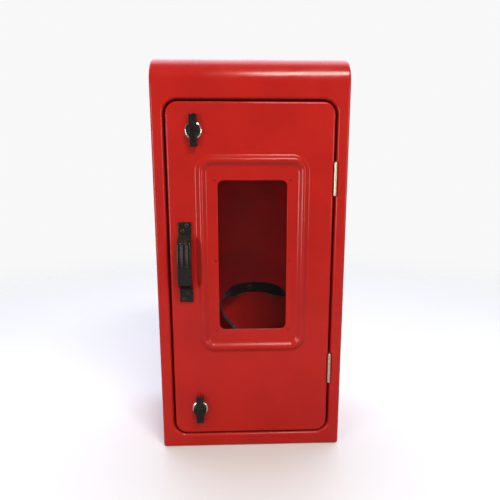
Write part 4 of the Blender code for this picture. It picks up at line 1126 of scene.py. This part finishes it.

# %% [markdown]
# ## Rivets
# Window, handle and hinges are held by blind rivets: a domed head with the broken pull-pin in its
# middle, a shank, and a bulb behind the last sheet. Each is a turned profile. The window's rivets are
# painted with the door, in a darker red that is painted shade, with pale pink rims where the paint is gone
# that are partly a painted highlight; the handle's are black with their rims rubbed bare to a brownish
# colour that is partly a painted highlight; the hinges' lie flush and bare.

# %% Profiles of the rivets
BULB_START, BULB_WIDE, BULB_END = 2.2 * MM, 1.4 * MM, 0.4 * MM     # heights above the rivet's end
FLUSH_BULB_START, FLUSH_SINK = 2.4 * MM, 1 * MM
FLUSH_PIN, FLUSH_RING = 0.5 * MM, 0.6 * MM                         # how far the pull-pin is sunk


def domed_rivet(head, shank, high, seat, low, hole):
    """Profile (radius, height) of a domed rivet: pull-pin, hole, dome, shank and bulb. The dome falls from
    its full lift as 1 - s^2.2 to a rim a quarter as high."""
    dome = np.linspace(0, 1, 9)[1:]
    lift = high - seat
    over = [(hole + (head - hole) * s, seat + lift * (0.25 + 0.75 * (1 - s ** 2.2))) for s in dome]
    pin, ring = seat - 0.4 * lift, seat - 0.5 * lift
    return [(0, pin), (0.7 * hole, pin), (0.8 * hole, ring), (hole, ring), (hole, high), *over, (head, seat),
            (shank, seat), (shank, low + BULB_START), (1.5 * shank, low + BULB_WIDE),
            (1.3 * shank, low + BULB_END), (0.6 * shank, low), (0, low)]


def flush_rivet(head, shank, high, low, hole):
    """Profile of a countersunk rivet whose head is level with the leaf."""
    return [(0, high - FLUSH_PIN), (hole, high - FLUSH_RING), (hole, high), (head, high),
            (shank, high - FLUSH_SINK), (shank, low + FLUSH_BULB_START), (1.5 * shank, low + BULB_WIDE),
            (0.7 * shank, low), (0, low)]


def along_axis(node, facing):
    """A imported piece's centre on the wall it goes through, and its lowest and highest point along the way
    it faces, measured from there."""
    way = np.array(AXES[facing][2])
    low, high = box(node)
    centre = (low + high) / 2
    half = abs(float((high - low) @ way)) / 2
    return centre, -half, half


# %% Set the domed rivets
def set_domed(kind, head, shank, lift, pin, material):
    """Domed rivets of one kind through the door; pin is the radius of the hole their pull-pin leaves."""
    for node in [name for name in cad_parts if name.startswith(f"{kind}_")]:
        centre, low, high = along_axis(node, "front")
        profile = domed_rivet(head, shank, high, high - lift, low, pin)
        piece = turned(f"{kind}{node[len(kind):]}_head", profile, centre, "front", 0.12 * MM, steps=32)
        stand_for(piece, node, "door", material)


set_domed("window_rivet", 2.6 * MM, 1.6 * MM, 1.0 * MM, 0.7 * MM, RED_RIVET)
set_domed("handle_rivet", 4.2 * MM, 2.4 * MM, 1.4 * MM, 1.8 * MM, BLACK_RIVET)

# %% [markdown]
# ## The pull handle
# A nylon bow with a flat foot at each end. Its cross-section changes all along it: thin at the feet,
# thick in the grip, where two grooves run lengthwise. A bevelled curve would keep one cross-section,
# so the handle is a stack of cross-sections whose height, depth and width are functions of the place
# along it.

# %% Cross-sections of the handle
HANDLE_LENGTH = 162 * MM
FOOT, FOOT_WALL = 24 * MM, 4 * MM
SHOULDER, PROUD, GRIP_WALL = 21 * MM, 29 * MM, 9 * MM
RAMP = 17 * MM
HALF_WIDTH, BULGE, GROOVE = 13 * MM, 1 * MM, 1.2 * MM
SOFT_OUT, SOFT_IN = (1.0 * MM, 2.2 * MM), (0.6 * MM, 2.4 * MM)     # corners at the feet, and added in the grip
GROOVE_SPOTS, GROOVE_SPREAD = (-0.36, 0.36), 0.10                  # as shares of the half width
WORN_HALF, WORN_FADE = PROUD * 0.62, 20 * MM                       # the middle that hands polish
SECTION_STEPS = 14
HANDLE_STATIONS, STATION_CROWDING = 150, 0.92                      # stations stand closer towards the ends
END_PULL = np.array([0.05, 0, 0.2])    # how far the last sections shrink to their middles


def eased(value):
    """0 to 1 with level ends: 3 v^2 - 2 v^3."""
    value = np.clip(value, 0, 1)
    return value * value * (3 - 2 * value)


def handle_sections(y):
    """Inner height, outer height, half width, groove depth and ramp at each place y along the handle.

    The foot ends at half the length less the foot; from there both faces climb over the ramp, and the
    outer one is crowned by a parabola.
    """
    foot_end = HANDLE_LENGTH / 2 - FOOT
    ramp = eased((foot_end - np.abs(y)) / RAMP)
    crown = np.maximum(1 - (y / (foot_end - RAMP / 2)) ** 2, 0)
    outer = FOOT_WALL + (SHOULDER - FOOT_WALL) * ramp + (PROUD - SHOULDER) * crown
    inner = np.maximum(outer - FOOT_WALL - (GRIP_WALL - FOOT_WALL) * ramp, 0)
    return inner, outer, HALF_WIDTH + BULGE * ramp, GROOVE * ramp, ramp


def section_rings(y):
    """Closed cross-sections: a rounded rectangle between inner and outer height whose outer side is crossed
    by two grooves, each a bell curve one third of the way out, and bellied slightly between its corners."""
    inner, outer, half, groove, ramp = (part[:, None] for part in handle_sections(y))
    soft_out, soft_in = SOFT_OUT[0] + SOFT_OUT[1] * ramp, SOFT_IN[0] + SOFT_IN[1] * ramp
    turn = np.linspace(0, np.pi / 2, SECTION_STEPS // 2 + 1)
    flat = np.linspace(1, -1, 41)[None]
    top_x = flat * (half - soft_out)
    bells = sum(np.exp(-((top_x / half - spot) / GROOVE_SPREAD) ** 2) for spot in GROOVE_SPOTS)
    top = outer - groove * bells
    right_x, right = half - soft_out * (1 - np.cos(turn)), outer - soft_out * (1 - np.sin(turn))
    base_x, base = -half + soft_in * (1 - np.cos(turn)), inner + soft_in * (1 - np.sin(turn))
    x = np.concatenate([right_x, top_x, -right_x[:, ::-1], base_x, -base_x[:, ::-1]], axis=1)
    z = np.concatenate([right, top, right[:, ::-1], base, base[:, ::-1]], axis=1)
    along = np.broadcast_to(y[:, None], x.shape)
    return np.stack([x, along, z + TOUCH], axis=-1)


def build_pull_handle():
    share = np.linspace(-1, 1, HANDLE_STATIONS)
    y = (HANDLE_LENGTH / 2 * np.sin(share * np.pi / 2 * STATION_CROWDING)
         / np.sin(np.pi / 2 * STATION_CROWDING))
    rings = section_rings(y)
    for end in (0, -1):
        rings[end] += (rings[end].mean(axis=0) - rings[end]) * END_PULL
    centre = middle("pull_handle") * (1, 0, 1) + (0, FRONT, 0)
    rub = np.repeat(eased((WORN_HALF - np.abs(y)) / WORN_FADE) * 0.5, rings.shape[1])
    return make_piece("nylon_pull_handle", placed(rings, centre, "front"), ring_faces(rings, False), rub)


stand_for(build_pull_handle(), "pull_handle", "door", NYLON)

# %% [markdown]
# ## Hinges
# Each hinge is two pressed leaves whose ends are curled round one pin as five knuckles, taken in turn by
# the frame's leaf and the door's. A leaf could be one extruded strip, but the gaps between knuckles are
# what makes it a hinge. So a leaf is a comb-shaped plate, and each knuckle is a turned barrel on it.

# %% A plate of any outline, with soft edges
def shaped_plate(name, shape, low, high, edge, facing, centre, radius=0.0):
    """A plate between two heights. Its outline is a polygon (u, v) with corners rounded by radius; near
    either face it is drawn in by edge along the outline's normals."""
    flat, _ = softened(shape, radius, looped=True, steps=6)
    tangent = np.roll(flat, -1, axis=0) - np.roll(flat, 1, axis=0)
    normal = np.stack([tangent[:, 1], -tangent[:, 0]], axis=1)
    normal /= np.maximum(np.linalg.norm(normal, axis=1, keepdims=True), 1e-9)
    turn = np.linspace(0, np.pi / 2, 4)
    inset = np.concatenate([edge * (1 - np.sin(turn)), edge * (1 - np.cos(turn))])
    height = np.concatenate([low + edge * (1 - np.cos(turn)), high - edge * (1 - np.sin(turn))])
    rings = np.stack([flat - normal * step for step in inset])
    rings = np.concatenate([rings, np.broadcast_to(height[:, None, None], (*rings.shape[:2], 1))], axis=2)
    return from_rings(name, placed(rings, centre, facing), rub=np.clip(inset / edge, 0, 1) * 0.8)


# %% One leaf with its knuckles
KNUCKLES = 5
KNUCKLE_RADIUS, BORE_RADIUS = 3.2 * MM, 1.7 * MM
LEAF_START = 3.6 * MM
LEAF_FACES = (1.95 * MM, 0.65 * MM)    # how far its two faces lie from the pin's middle


def build_leaf(hinge, leaf, side, first):
    """The comb plate on one side of the pin and every second knuckle from the first one."""
    node = f"{hinge}_{leaf}"
    low, high = box(node)
    pin = middle(f"{hinge}_pin")
    step = (high[2] - low[2]) / KNUCKLES
    edges = low[2] + step * np.arange(KNUCKLES + 1) + TOUCH / 2 * np.array([0] + [1] * (KNUCKLES - 1) + [0])
    thick = sorted(side * face for face in LEAF_FACES)
    front, rear = pin[1] + LEAF_START, high[1]
    shape = [(rear, low[2]), (rear, high[2])]
    for number in reversed(range(KNUCKLES)):
        reach = pin[1] + BORE_RADIUS + 0.2 * MM if number % 2 == first else front
        top = edges[number + 1] - (TOUCH if number < KNUCKLES - 1 else 0)
        shape += [(reach, top), (reach, edges[number])]
    parts = [shaped_plate(f"{node}_plate", shape, *thick, 0.25 * MM, "right", (pin[0], 0, 0), 0.3 * MM)]
    for number in range(first, KNUCKLES, 2):
        top = edges[number + 1] - (TOUCH if number < KNUCKLES - 1 else 0)
        barrel = [(BORE_RADIUS, edges[number]), (KNUCKLE_RADIUS, edges[number]), (KNUCKLE_RADIUS, top),
                  (BORE_RADIUS, top)]
        parts.append(turned(f"{node}_knuckle", barrel, (pin[0], pin[1], 0), "up", 0.35 * MM, True, 36))
    return joined(f"{node}_pressing", parts)


# %% Pins, leaves and flush rivets
PIN_HEAD, PIN_SHANK, PIN_HEAD_WALL = 2.2 * MM, 1.4 * MM, 1.0 * MM
LEAF_RIVET = (2.8 * MM, 1.5 * MM)      # head and shank


def build_pin(node):
    """A plain pin with a domed head pressed on at each end."""
    low, high = box(node)
    centre, half = (low + high) / 2, (high[2] - low[2]) / 2
    profile = [(0, half), (0.8 * PIN_HEAD, half - 0.15 * MM), (PIN_HEAD, half - PIN_HEAD_WALL),
               (PIN_SHANK, half - PIN_HEAD_WALL)]
    profile += [(radius, -height) for radius, height in reversed(profile)]
    return turned(f"{node}_turned", profile, centre, "up", 0.2 * MM, steps=32)


for hinge in HINGE_NODES:
    for leaf, side, first, rider in (("frame_leaf", 1, 0, "cabinet"), ("door_leaf", -1, 1, "door")):
        stand_for(build_leaf(hinge, leaf, side, first), f"{hinge}_{leaf}", rider, NICKEL)
    stand_for(build_pin(f"{hinge}_pin"), f"{hinge}_pin", "cabinet", NICKEL)
    for name, facing, rider in (("frame", "left", "cabinet"), ("door", "right", "door")):
        for number in (1, 2, 3):
            node = f"{hinge}_{name}_rivet_{number}"
            centre, low, high = along_axis(node, facing)
            profile = flush_rivet(*LEAF_RIVET, high, low, 0.7 * MM)
            rivet = turned(f"{node}_flush", profile, centre, facing, 0.1 * MM, steps=32)
            stand_for(rivet, node, rider, NICKEL)

# %% [markdown]
# ## Quarter-turn latches
# A chromed collar goes through the door and is held by a nut. In it turns a nylon grip with two wings,
# whose square spindle carries a flat steel cam behind the door. Everything but the wings, the cam and
# the nut is round, so it is turned; the wings are cross-sections along a line, and the hexagons come
# from one formula for a radius that changes round the axis.

# %% Round and six-sided shapes in one ring
def hexagon(angle, across_flats):
    """Distance from the axis to a hexagon's side: half across flats / cos(angle within its sixth)."""
    return across_flats / 2 / np.cos((angle + np.pi / 6) % (np.pi / 3) - np.pi / 6)


def six_sided_rings(levels, across_flats, steps=72):
    """Rings at levels (radius limit, height): the hexagon, cut off where the limit is smaller."""
    angle = 2 * np.pi * np.arange(steps) / steps
    limit, height = np.array(levels)[:, 0, None], np.array(levels)[:, 1, None]
    radius = np.minimum(hexagon(angle, across_flats), limit)
    return np.stack(np.broadcast_arrays(radius * np.cos(angle), radius * np.sin(angle), height), axis=-1)


# %% Collar, nut and cam screw
COLLAR_RADIUS, COLLAR_WALL = 16.8 * MM, 3.6 * MM
BARREL_RADIUS, BARREL_BORE = 10 * MM, 6 * MM
THREAD_PITCH, THREAD_DEPTH, THREAD_FREE = 0.5 * MM, 0.25 * MM, 8 * MM
NUT_ACROSS, NUT_CORNER, NUT_FACE_DROP, NUT_CHAMFER = 26 * MM, 15.0 * MM, 2.0 * MM, 1.0 * MM


def build_collar(name, face, end):
    """Collar and barrel: the profile goes up the bore, over the collar's rolled rim and back down outside.
    A fine thread shows below the nut's seat."""
    top = TOUCH + COLLAR_WALL
    turns = np.arange(0, end - THREAD_FREE, THREAD_PITCH)
    thread = [(BARREL_RADIUS - (THREAD_DEPTH if number % 2 else 0), -end + 1 * MM + height)
              for number, height in enumerate(turns)]
    profile = [(BARREL_BORE, top - 0.6 * MM), (BARREL_BORE, -end), (BARREL_RADIUS - 0.8 * MM, -end), *thread,
               (BARREL_RADIUS, TOUCH), (COLLAR_RADIUS, TOUCH), (COLLAR_RADIUS, 0.42 * top),
               (COLLAR_RADIUS - 0.7 * MM, 0.78 * top), (COLLAR_RADIUS - 2.2 * MM, top),
               (BARREL_BORE + 1.2 * MM, top)]
    return turned(name, profile, face, "front", 0.35 * MM, True, 72)


def build_nut(node, face):
    """A hexagon nut with chamfered corners and a plain bore."""
    low, high = box(node)
    back, front = -(high[1] - face[1]), -(low[1] - face[1])
    bore, face_edge = BARREL_RADIUS + TOUCH, NUT_CORNER - NUT_FACE_DROP
    levels = [(bore, back + 0.4 * MM), (bore + 0.5 * MM, back), (face_edge, back),
              (NUT_CORNER, back + NUT_CHAMFER), (NUT_CORNER, front - NUT_CHAMFER), (face_edge, front),
              (bore + 0.5 * MM, front), (bore, front - 0.4 * MM)]
    rings = six_sided_rings(levels, NUT_ACROSS)
    rub = np.array([0, 0.3, 0.6, 1, 1, 0.6, 0.3, 0])
    return from_rings(f"{node}_hexagon", placed(rings, face, "front"), True, rub)


def build_cam_screw(node, face):
    """A flanged hexagon screw: shank in the spindle, flange on the cam, chamfered head."""
    low, high = box(node)
    back, tip = -(high[1] - face[1]), -(low[1] - face[1])
    shank, flange, head = 2 * MM, 7 * MM, 3.5 * MM
    seat = back + head
    levels = [(0, tip), (shank - 0.3 * MM, tip), (shank, tip - 0.4 * MM), (shank, seat), (flange, seat),
              (flange, seat - 0.6 * MM), (flange - 0.5 * MM, seat - 0.9 * MM)]
    body = turned_rings(np.array(levels), 72)
    hexed = six_sided_rings([(9 * MM, seat - 1.0 * MM), (9 * MM, back + 0.5 * MM), (4.3 * MM, back),
                             (0, back)], 8 * MM)
    rings = np.concatenate([body, hexed])
    rub = np.array([0, 0.5, 0, 0, 0.4, 1, 0.8, 0.2, 1, 0.8, 0])
    return from_rings(f"{node}_hexagon", placed(rings, face, "front"), rub=rub)


# %% The grip: boss, wings and spindle
BOSS_RADIUS, BOSS_HEIGHT = 13.6 * MM, 9 * MM
WING_LENGTH, WING_WIDTH, WING_WALL, WING_FALL = 60 * MM, 16.4 * MM, 5 * MM, 2.6 * MM
WING_TAPER, WING_DIP = 0.9 * MM, 0.5 * MM
TIP_ROUND, TIP_DROP = 1.6 * MM, 1.4 * MM
SPINDLE = 8 * MM


def build_wings(name, face, base):
    """Cross-sections along the wings: a block with a rounded back whose top falls towards the tips, by
    fall * tip^1.5, and whose tips are rounded over."""
    half = WING_LENGTH / 2
    y = half * np.sin(np.linspace(-1, 1, 61) * np.pi / 2)
    tip = np.abs(y) / half
    end = np.maximum(1 - (np.maximum(np.abs(y) - half + TIP_ROUND, 0) / TIP_ROUND) ** 2, 0) ** 0.5
    wide = WING_WIDTH / 2 - WING_TAPER * tip - TIP_ROUND * (1 - end)
    tall = WING_WALL + WING_FALL * (1 - tip ** 1.5) - TIP_DROP * (1 - end)
    soft = 1.5 * MM
    turn = np.linspace(0, np.pi / 2, 7)[None]
    wide, tall = wide[:, None], tall[:, None]
    right_x, right = wide - soft * (1 - np.cos(turn)), tall - soft * (1 - np.sin(turn))
    dip = np.linspace(1, -1, 15)[None, 1:-1]
    top_x, top = dip * (wide - soft), tall - WING_DIP * (1 - dip ** 2)
    low_x = np.concatenate([-wide, -wide + 0.4 * MM, wide - 0.4 * MM, wide], axis=1)
    low = np.array([[0.4, 0, 0, 0.4]]) * MM * np.ones_like(wide)
    x = np.concatenate([right_x, top_x, -right_x[:, ::-1], low_x], axis=1)
    z = np.concatenate([right, top, right[:, ::-1], low], axis=1) + base
    rings = np.stack([x, np.broadcast_to(y[:, None], x.shape), z], axis=-1)
    rub = 0.7 * (1 - end) + 0.35 * eased((tip - 0.5) * 2)
    return from_rings(name, placed(rings, face, "front"), rub=rub)


def build_grip(node, face):
    """Boss with a raised disc and a shallow ring groove, wings across it, spindle through the collar."""
    seat = 2 * TOUCH + COLLAR_WALL
    top = seat + BOSS_HEIGHT
    boss = [(0, seat), (BOSS_RADIUS - 0.6 * MM, seat), (BOSS_RADIUS, seat + 0.8 * MM),
            (BOSS_RADIUS, top - 2.6 * MM), (BOSS_RADIUS - 1.6 * MM, top - 1.1 * MM),
            (BOSS_RADIUS - 4.4 * MM, top - 1.1 * MM), (BOSS_RADIUS - 4.9 * MM, top - 1.7 * MM),
            (BOSS_RADIUS - 5.6 * MM, top - 1.7 * MM), (BOSS_RADIUS - 5.9 * MM, top - 0.1 * MM),
            (BOSS_RADIUS - 7.0 * MM, top), (0, top)]
    end = -(box(node)[1][1] - face[1])
    half = SPINDLE / 2
    square = [(half, -half), (half, half), (-half, half), (-half, -half)]
    parts = [turned(f"{node}_boss", boss, face, "front", 0.5 * MM, steps=72),
             build_wings(f"{node}_wings", face, seat + 1 * MM),
             shaped_plate(f"{node}_spindle", square, end, seat + 3 * MM, 0.3 * MM, "front", face, 0.5 * MM)]
    return joined(f"{node}_moulding", parts)


# %% The cam and the whole latch
CAM_WIDTH = 18 * MM


def build_cam(node, face):
    """A flat bar with round ends, level and shaped by its packed box."""
    low, high = box(node)
    lower, upper = low[2] - face[2], high[2] - face[2]
    half = CAM_WIDTH / 2
    shape = outline((CAM_WIDTH, upper - lower), half - 0.1 * MM, (0, (lower + upper) / 2), steps=16)
    front, back = -(low[1] - face[1]), -(high[1] - face[1])
    return shaped_plate(f"{node}_bar", shape, back, front, 0.4 * MM, "front", face)


for latch in ("upper_latch", "lower_latch"):
    x, _, z = middle(f"{latch}_housing")
    face = np.array([x, FRONT, z])
    barrel_end = box(f"{latch}_housing")[1][1] - FRONT
    stand_for(build_collar(f"{latch}_collar", face, barrel_end), f"{latch}_housing", "door",
              CHROME)
    stand_for(build_nut(f"{latch}_nut", face), f"{latch}_nut", "door", ZINC)
    stand_for(build_grip(f"{latch}_handle", face), f"{latch}_handle", latch, NYLON)
    stand_for(build_cam(f"{latch}_cam", face), f"{latch}_cam", latch, ZINC)
    stand_for(build_cam_screw(f"{latch}_cam_screw", face), f"{latch}_cam_screw", latch, ZINC)

# %% [markdown]
# ## The retaining strap
# A band of flat black webbing hangs from one screw in the back panel. It lies flat on the panel at the
# screw, turns edge-on as it swings down both sides, and its two ends hang together below through a
# plastic slider. Cloth simulation would let such a stiff band fold as it liked, so the band is set out
# directly: its middle line is a formula, and its width turns about that line by another.

# %% The strap's middle line
STRAP_WIDTH, STRAP_WALL = 28 * MM, 2.2 * MM
STRAP_CENTRE_X, STRAP_TOP = 18 * MM, 292 * MM
HALF_LOOP, FULLNESS, HALF_DROP, SWAY = 76 * MM, 76 * MM, 98 * MM, 25 * MM
FLAT_SPAN, TWIST_SPAN = 0.18, 0.55
TAIL, TAIL_START, TAIL_GAP = 44 * MM, 6 * MM, 3.0 * MM
STANDOFF = 16.8 * MM
LOOP_POINTS, TAIL_POINTS = 240, 16
TAIL_MEETING = 1.12          # how much sooner than touching the two sides turn into tails
SMOOTHINGS = 6


def loop_line(angle):
    """Middle line at an angle from the top: x = centre + sin a (half width + fullness cos a) + sway
    (1 - cos a) / 2, z = top - half drop (1 - cos a). It is full above and drawn to a point below."""
    x = (STRAP_CENTRE_X + np.sin(angle) * (HALF_LOOP + FULLNESS * np.cos(angle))
         + SWAY * (1 - np.cos(angle)) / 2)
    return x, STRAP_TOP - HALF_DROP * (1 - np.cos(angle))


def strap_line():
    """x, z and turn from one hanging end, round the loop, to the other; the turn eases from flat to
    edge-on."""
    spread = TAIL_GAP / 2
    last = np.pi - (2 * spread / FULLNESS) ** (1 / 3) * TAIL_MEETING
    angle = np.linspace(-last, last, LOOP_POINTS)
    x, z = loop_line(angle)
    turn = np.pi / 2 * eased((np.abs(angle) - FLAT_SPAN) / TWIST_SPAN)
    point, _ = loop_line(np.pi)
    drop = z[0] - TAIL_START - TAIL * np.linspace(1, 0, TAIL_POINTS)
    edge_on = np.full(len(drop), np.pi / 2)
    x = np.concatenate([point - spread + 0 * drop, x, point + spread + 0 * drop])
    z = np.concatenate([drop, z, drop[::-1]])
    turn = np.concatenate([edge_on, turn, edge_on])
    return x, z, turn


# %% Carry the band along it
def band_section():
    """Half width share and half thickness share round the band: flat faces, a raised binding near each edge
    and round selvedges, thickness = (1 - s^8) ^ 0.5 with a small swell at s = 0.88."""
    share = np.sin(np.linspace(1, -1, 27) * np.pi / 2)
    swell = 0.80 + 0.20 * np.exp(-((np.abs(share) - 0.88) / 0.07) ** 2)
    thick = np.sqrt(np.maximum(1 - share ** 8, 0)) * swell
    return np.concatenate([share, share[-2:0:-1]]), np.concatenate([thick, -thick[-2:0:-1]])


def build_strap():
    x, z, turn = strap_line()
    for _ in range(SMOOTHINGS):
        x[1:-1] = (x[:-2] + 2 * x[1:-1] + x[2:]) / 4
        z[1:-1] = (z[:-2] + 2 * z[1:-1] + z[2:]) / 4
    panel = box("back_panel")[0][1]
    room = STRAP_WALL / 2 * np.cos(turn) + STANDOFF * np.sin(turn)
    line = np.stack([x, panel - TOUCH - room, z], axis=1)
    along = np.gradient(np.stack([x, 0 * x, z], axis=1), axis=0)
    along /= np.linalg.norm(along, axis=1, keepdims=True)
    outward = np.stack([-along[:, 2], 0 * x, along[:, 0]], axis=1)
    across = outward * np.cos(turn)[:, None] + DEEP * np.sin(turn)[:, None]
    through = np.cross(along, across)
    share, thick = band_section()
    rings = (line[:, None] + across[:, None] * (STRAP_WIDTH / 2 * share)[None, :, None]
             + through[:, None] * (STRAP_WALL / 2 * thick)[None, :, None])
    travelled = np.concatenate([[0], np.cumsum(np.linalg.norm(np.diff(line, axis=0), axis=1))])
    weave = np.stack(np.broadcast_arrays((share + 1)[None] * STRAP_WIDTH / 2, travelled[:, None]), axis=-1)
    strap = make_piece("webbing_strap", rings, ring_faces(rings, False), weave=weave)
    return strap, float(travelled[-1])


strap, strap_length = build_strap()
stand_for(strap, "retaining_strap", "cabinet", WEBBING)
print("strap:", round(strap_length / MM), "mm long")

# %% Slider, washer and screw
KEEPER_WALL = 2.5 * MM
WASHER_BORE, WASHER_RADIUS, WASHER_DISH = 2.7 * MM, 8 * MM, 0.2 * MM


def build_keeper():
    """A rounded slider round both hanging ends: the outline of its box with a wall."""
    low, high = box("strap_keeper")
    size, centre = (high - low)[:2], middle("strap_keeper")[:2]
    loop = [(0, low[2]), (0, high[2]), (-KEEPER_WALL, high[2]), (-KEEPER_WALL, low[2])]
    profile, rub = softened(loop, 0.7 * MM, True)
    return from_rings("strap_slider", level_rings(size, 2.6 * MM, centre, profile, 8), True, rub)


def build_washer():
    """A pressed washer, slightly dished towards its rim."""
    centre, low, high = along_axis("strap_washer", "front")
    profile = [(WASHER_BORE, high), (WASHER_BORE, low + WASHER_DISH), (7.9 * MM, low),
               (WASHER_RADIUS, high - 0.35 * MM)]
    return turned("pressed_washer", profile, centre, "front", 0.15 * MM, True, 48)


def build_strap_screw():
    """A pan-head screw with a cross recess; behind the panel it ends in its nut's collar."""
    centre, low, high = along_axis("strap_screw", "front")
    head, shank = 4.6 * MM, 2.4 * MM
    profile = [(0, high), (0.45 * head, high - 0.1 * MM), (0.85 * head, high - 0.8 * MM),
               (head, high - 1.7 * MM), (head, high - 2.4 * MM), (shank, high - 2.4 * MM),
               (shank, low + 2.8 * MM),
               (1.6 * shank, low + 2.4 * MM), (1.6 * shank, low + 0.4 * MM), (shank, low), (0, low)]
    screw = turned("strap_pan_screw", profile, centre, "front", 0.3 * MM, steps=40)
    arm, reach = 0.55 * MM, 2.6 * MM
    cross = [(reach, -arm), (reach, arm), (arm, arm), (arm, reach), (-arm, reach), (-arm, arm), (-reach, arm),
             (-reach, -arm), (-arm, -arm), (-arm, -reach), (arm, -reach), (arm, -arm)]
    recess = shaped_plate("cross_recess", cross, high - 1.3 * MM, high + 1 * MM, 0.1 * MM, "front", centre)
    return settled(screw, [recess])


keeper = stand_for(build_keeper(), "strap_keeper", "cabinet", NYLON)
stand_for(build_washer(), "strap_washer", "cabinet", BLACK_STEEL)
stand_for(build_strap_screw(), "strap_screw", "cabinet", BLACK_STEEL)
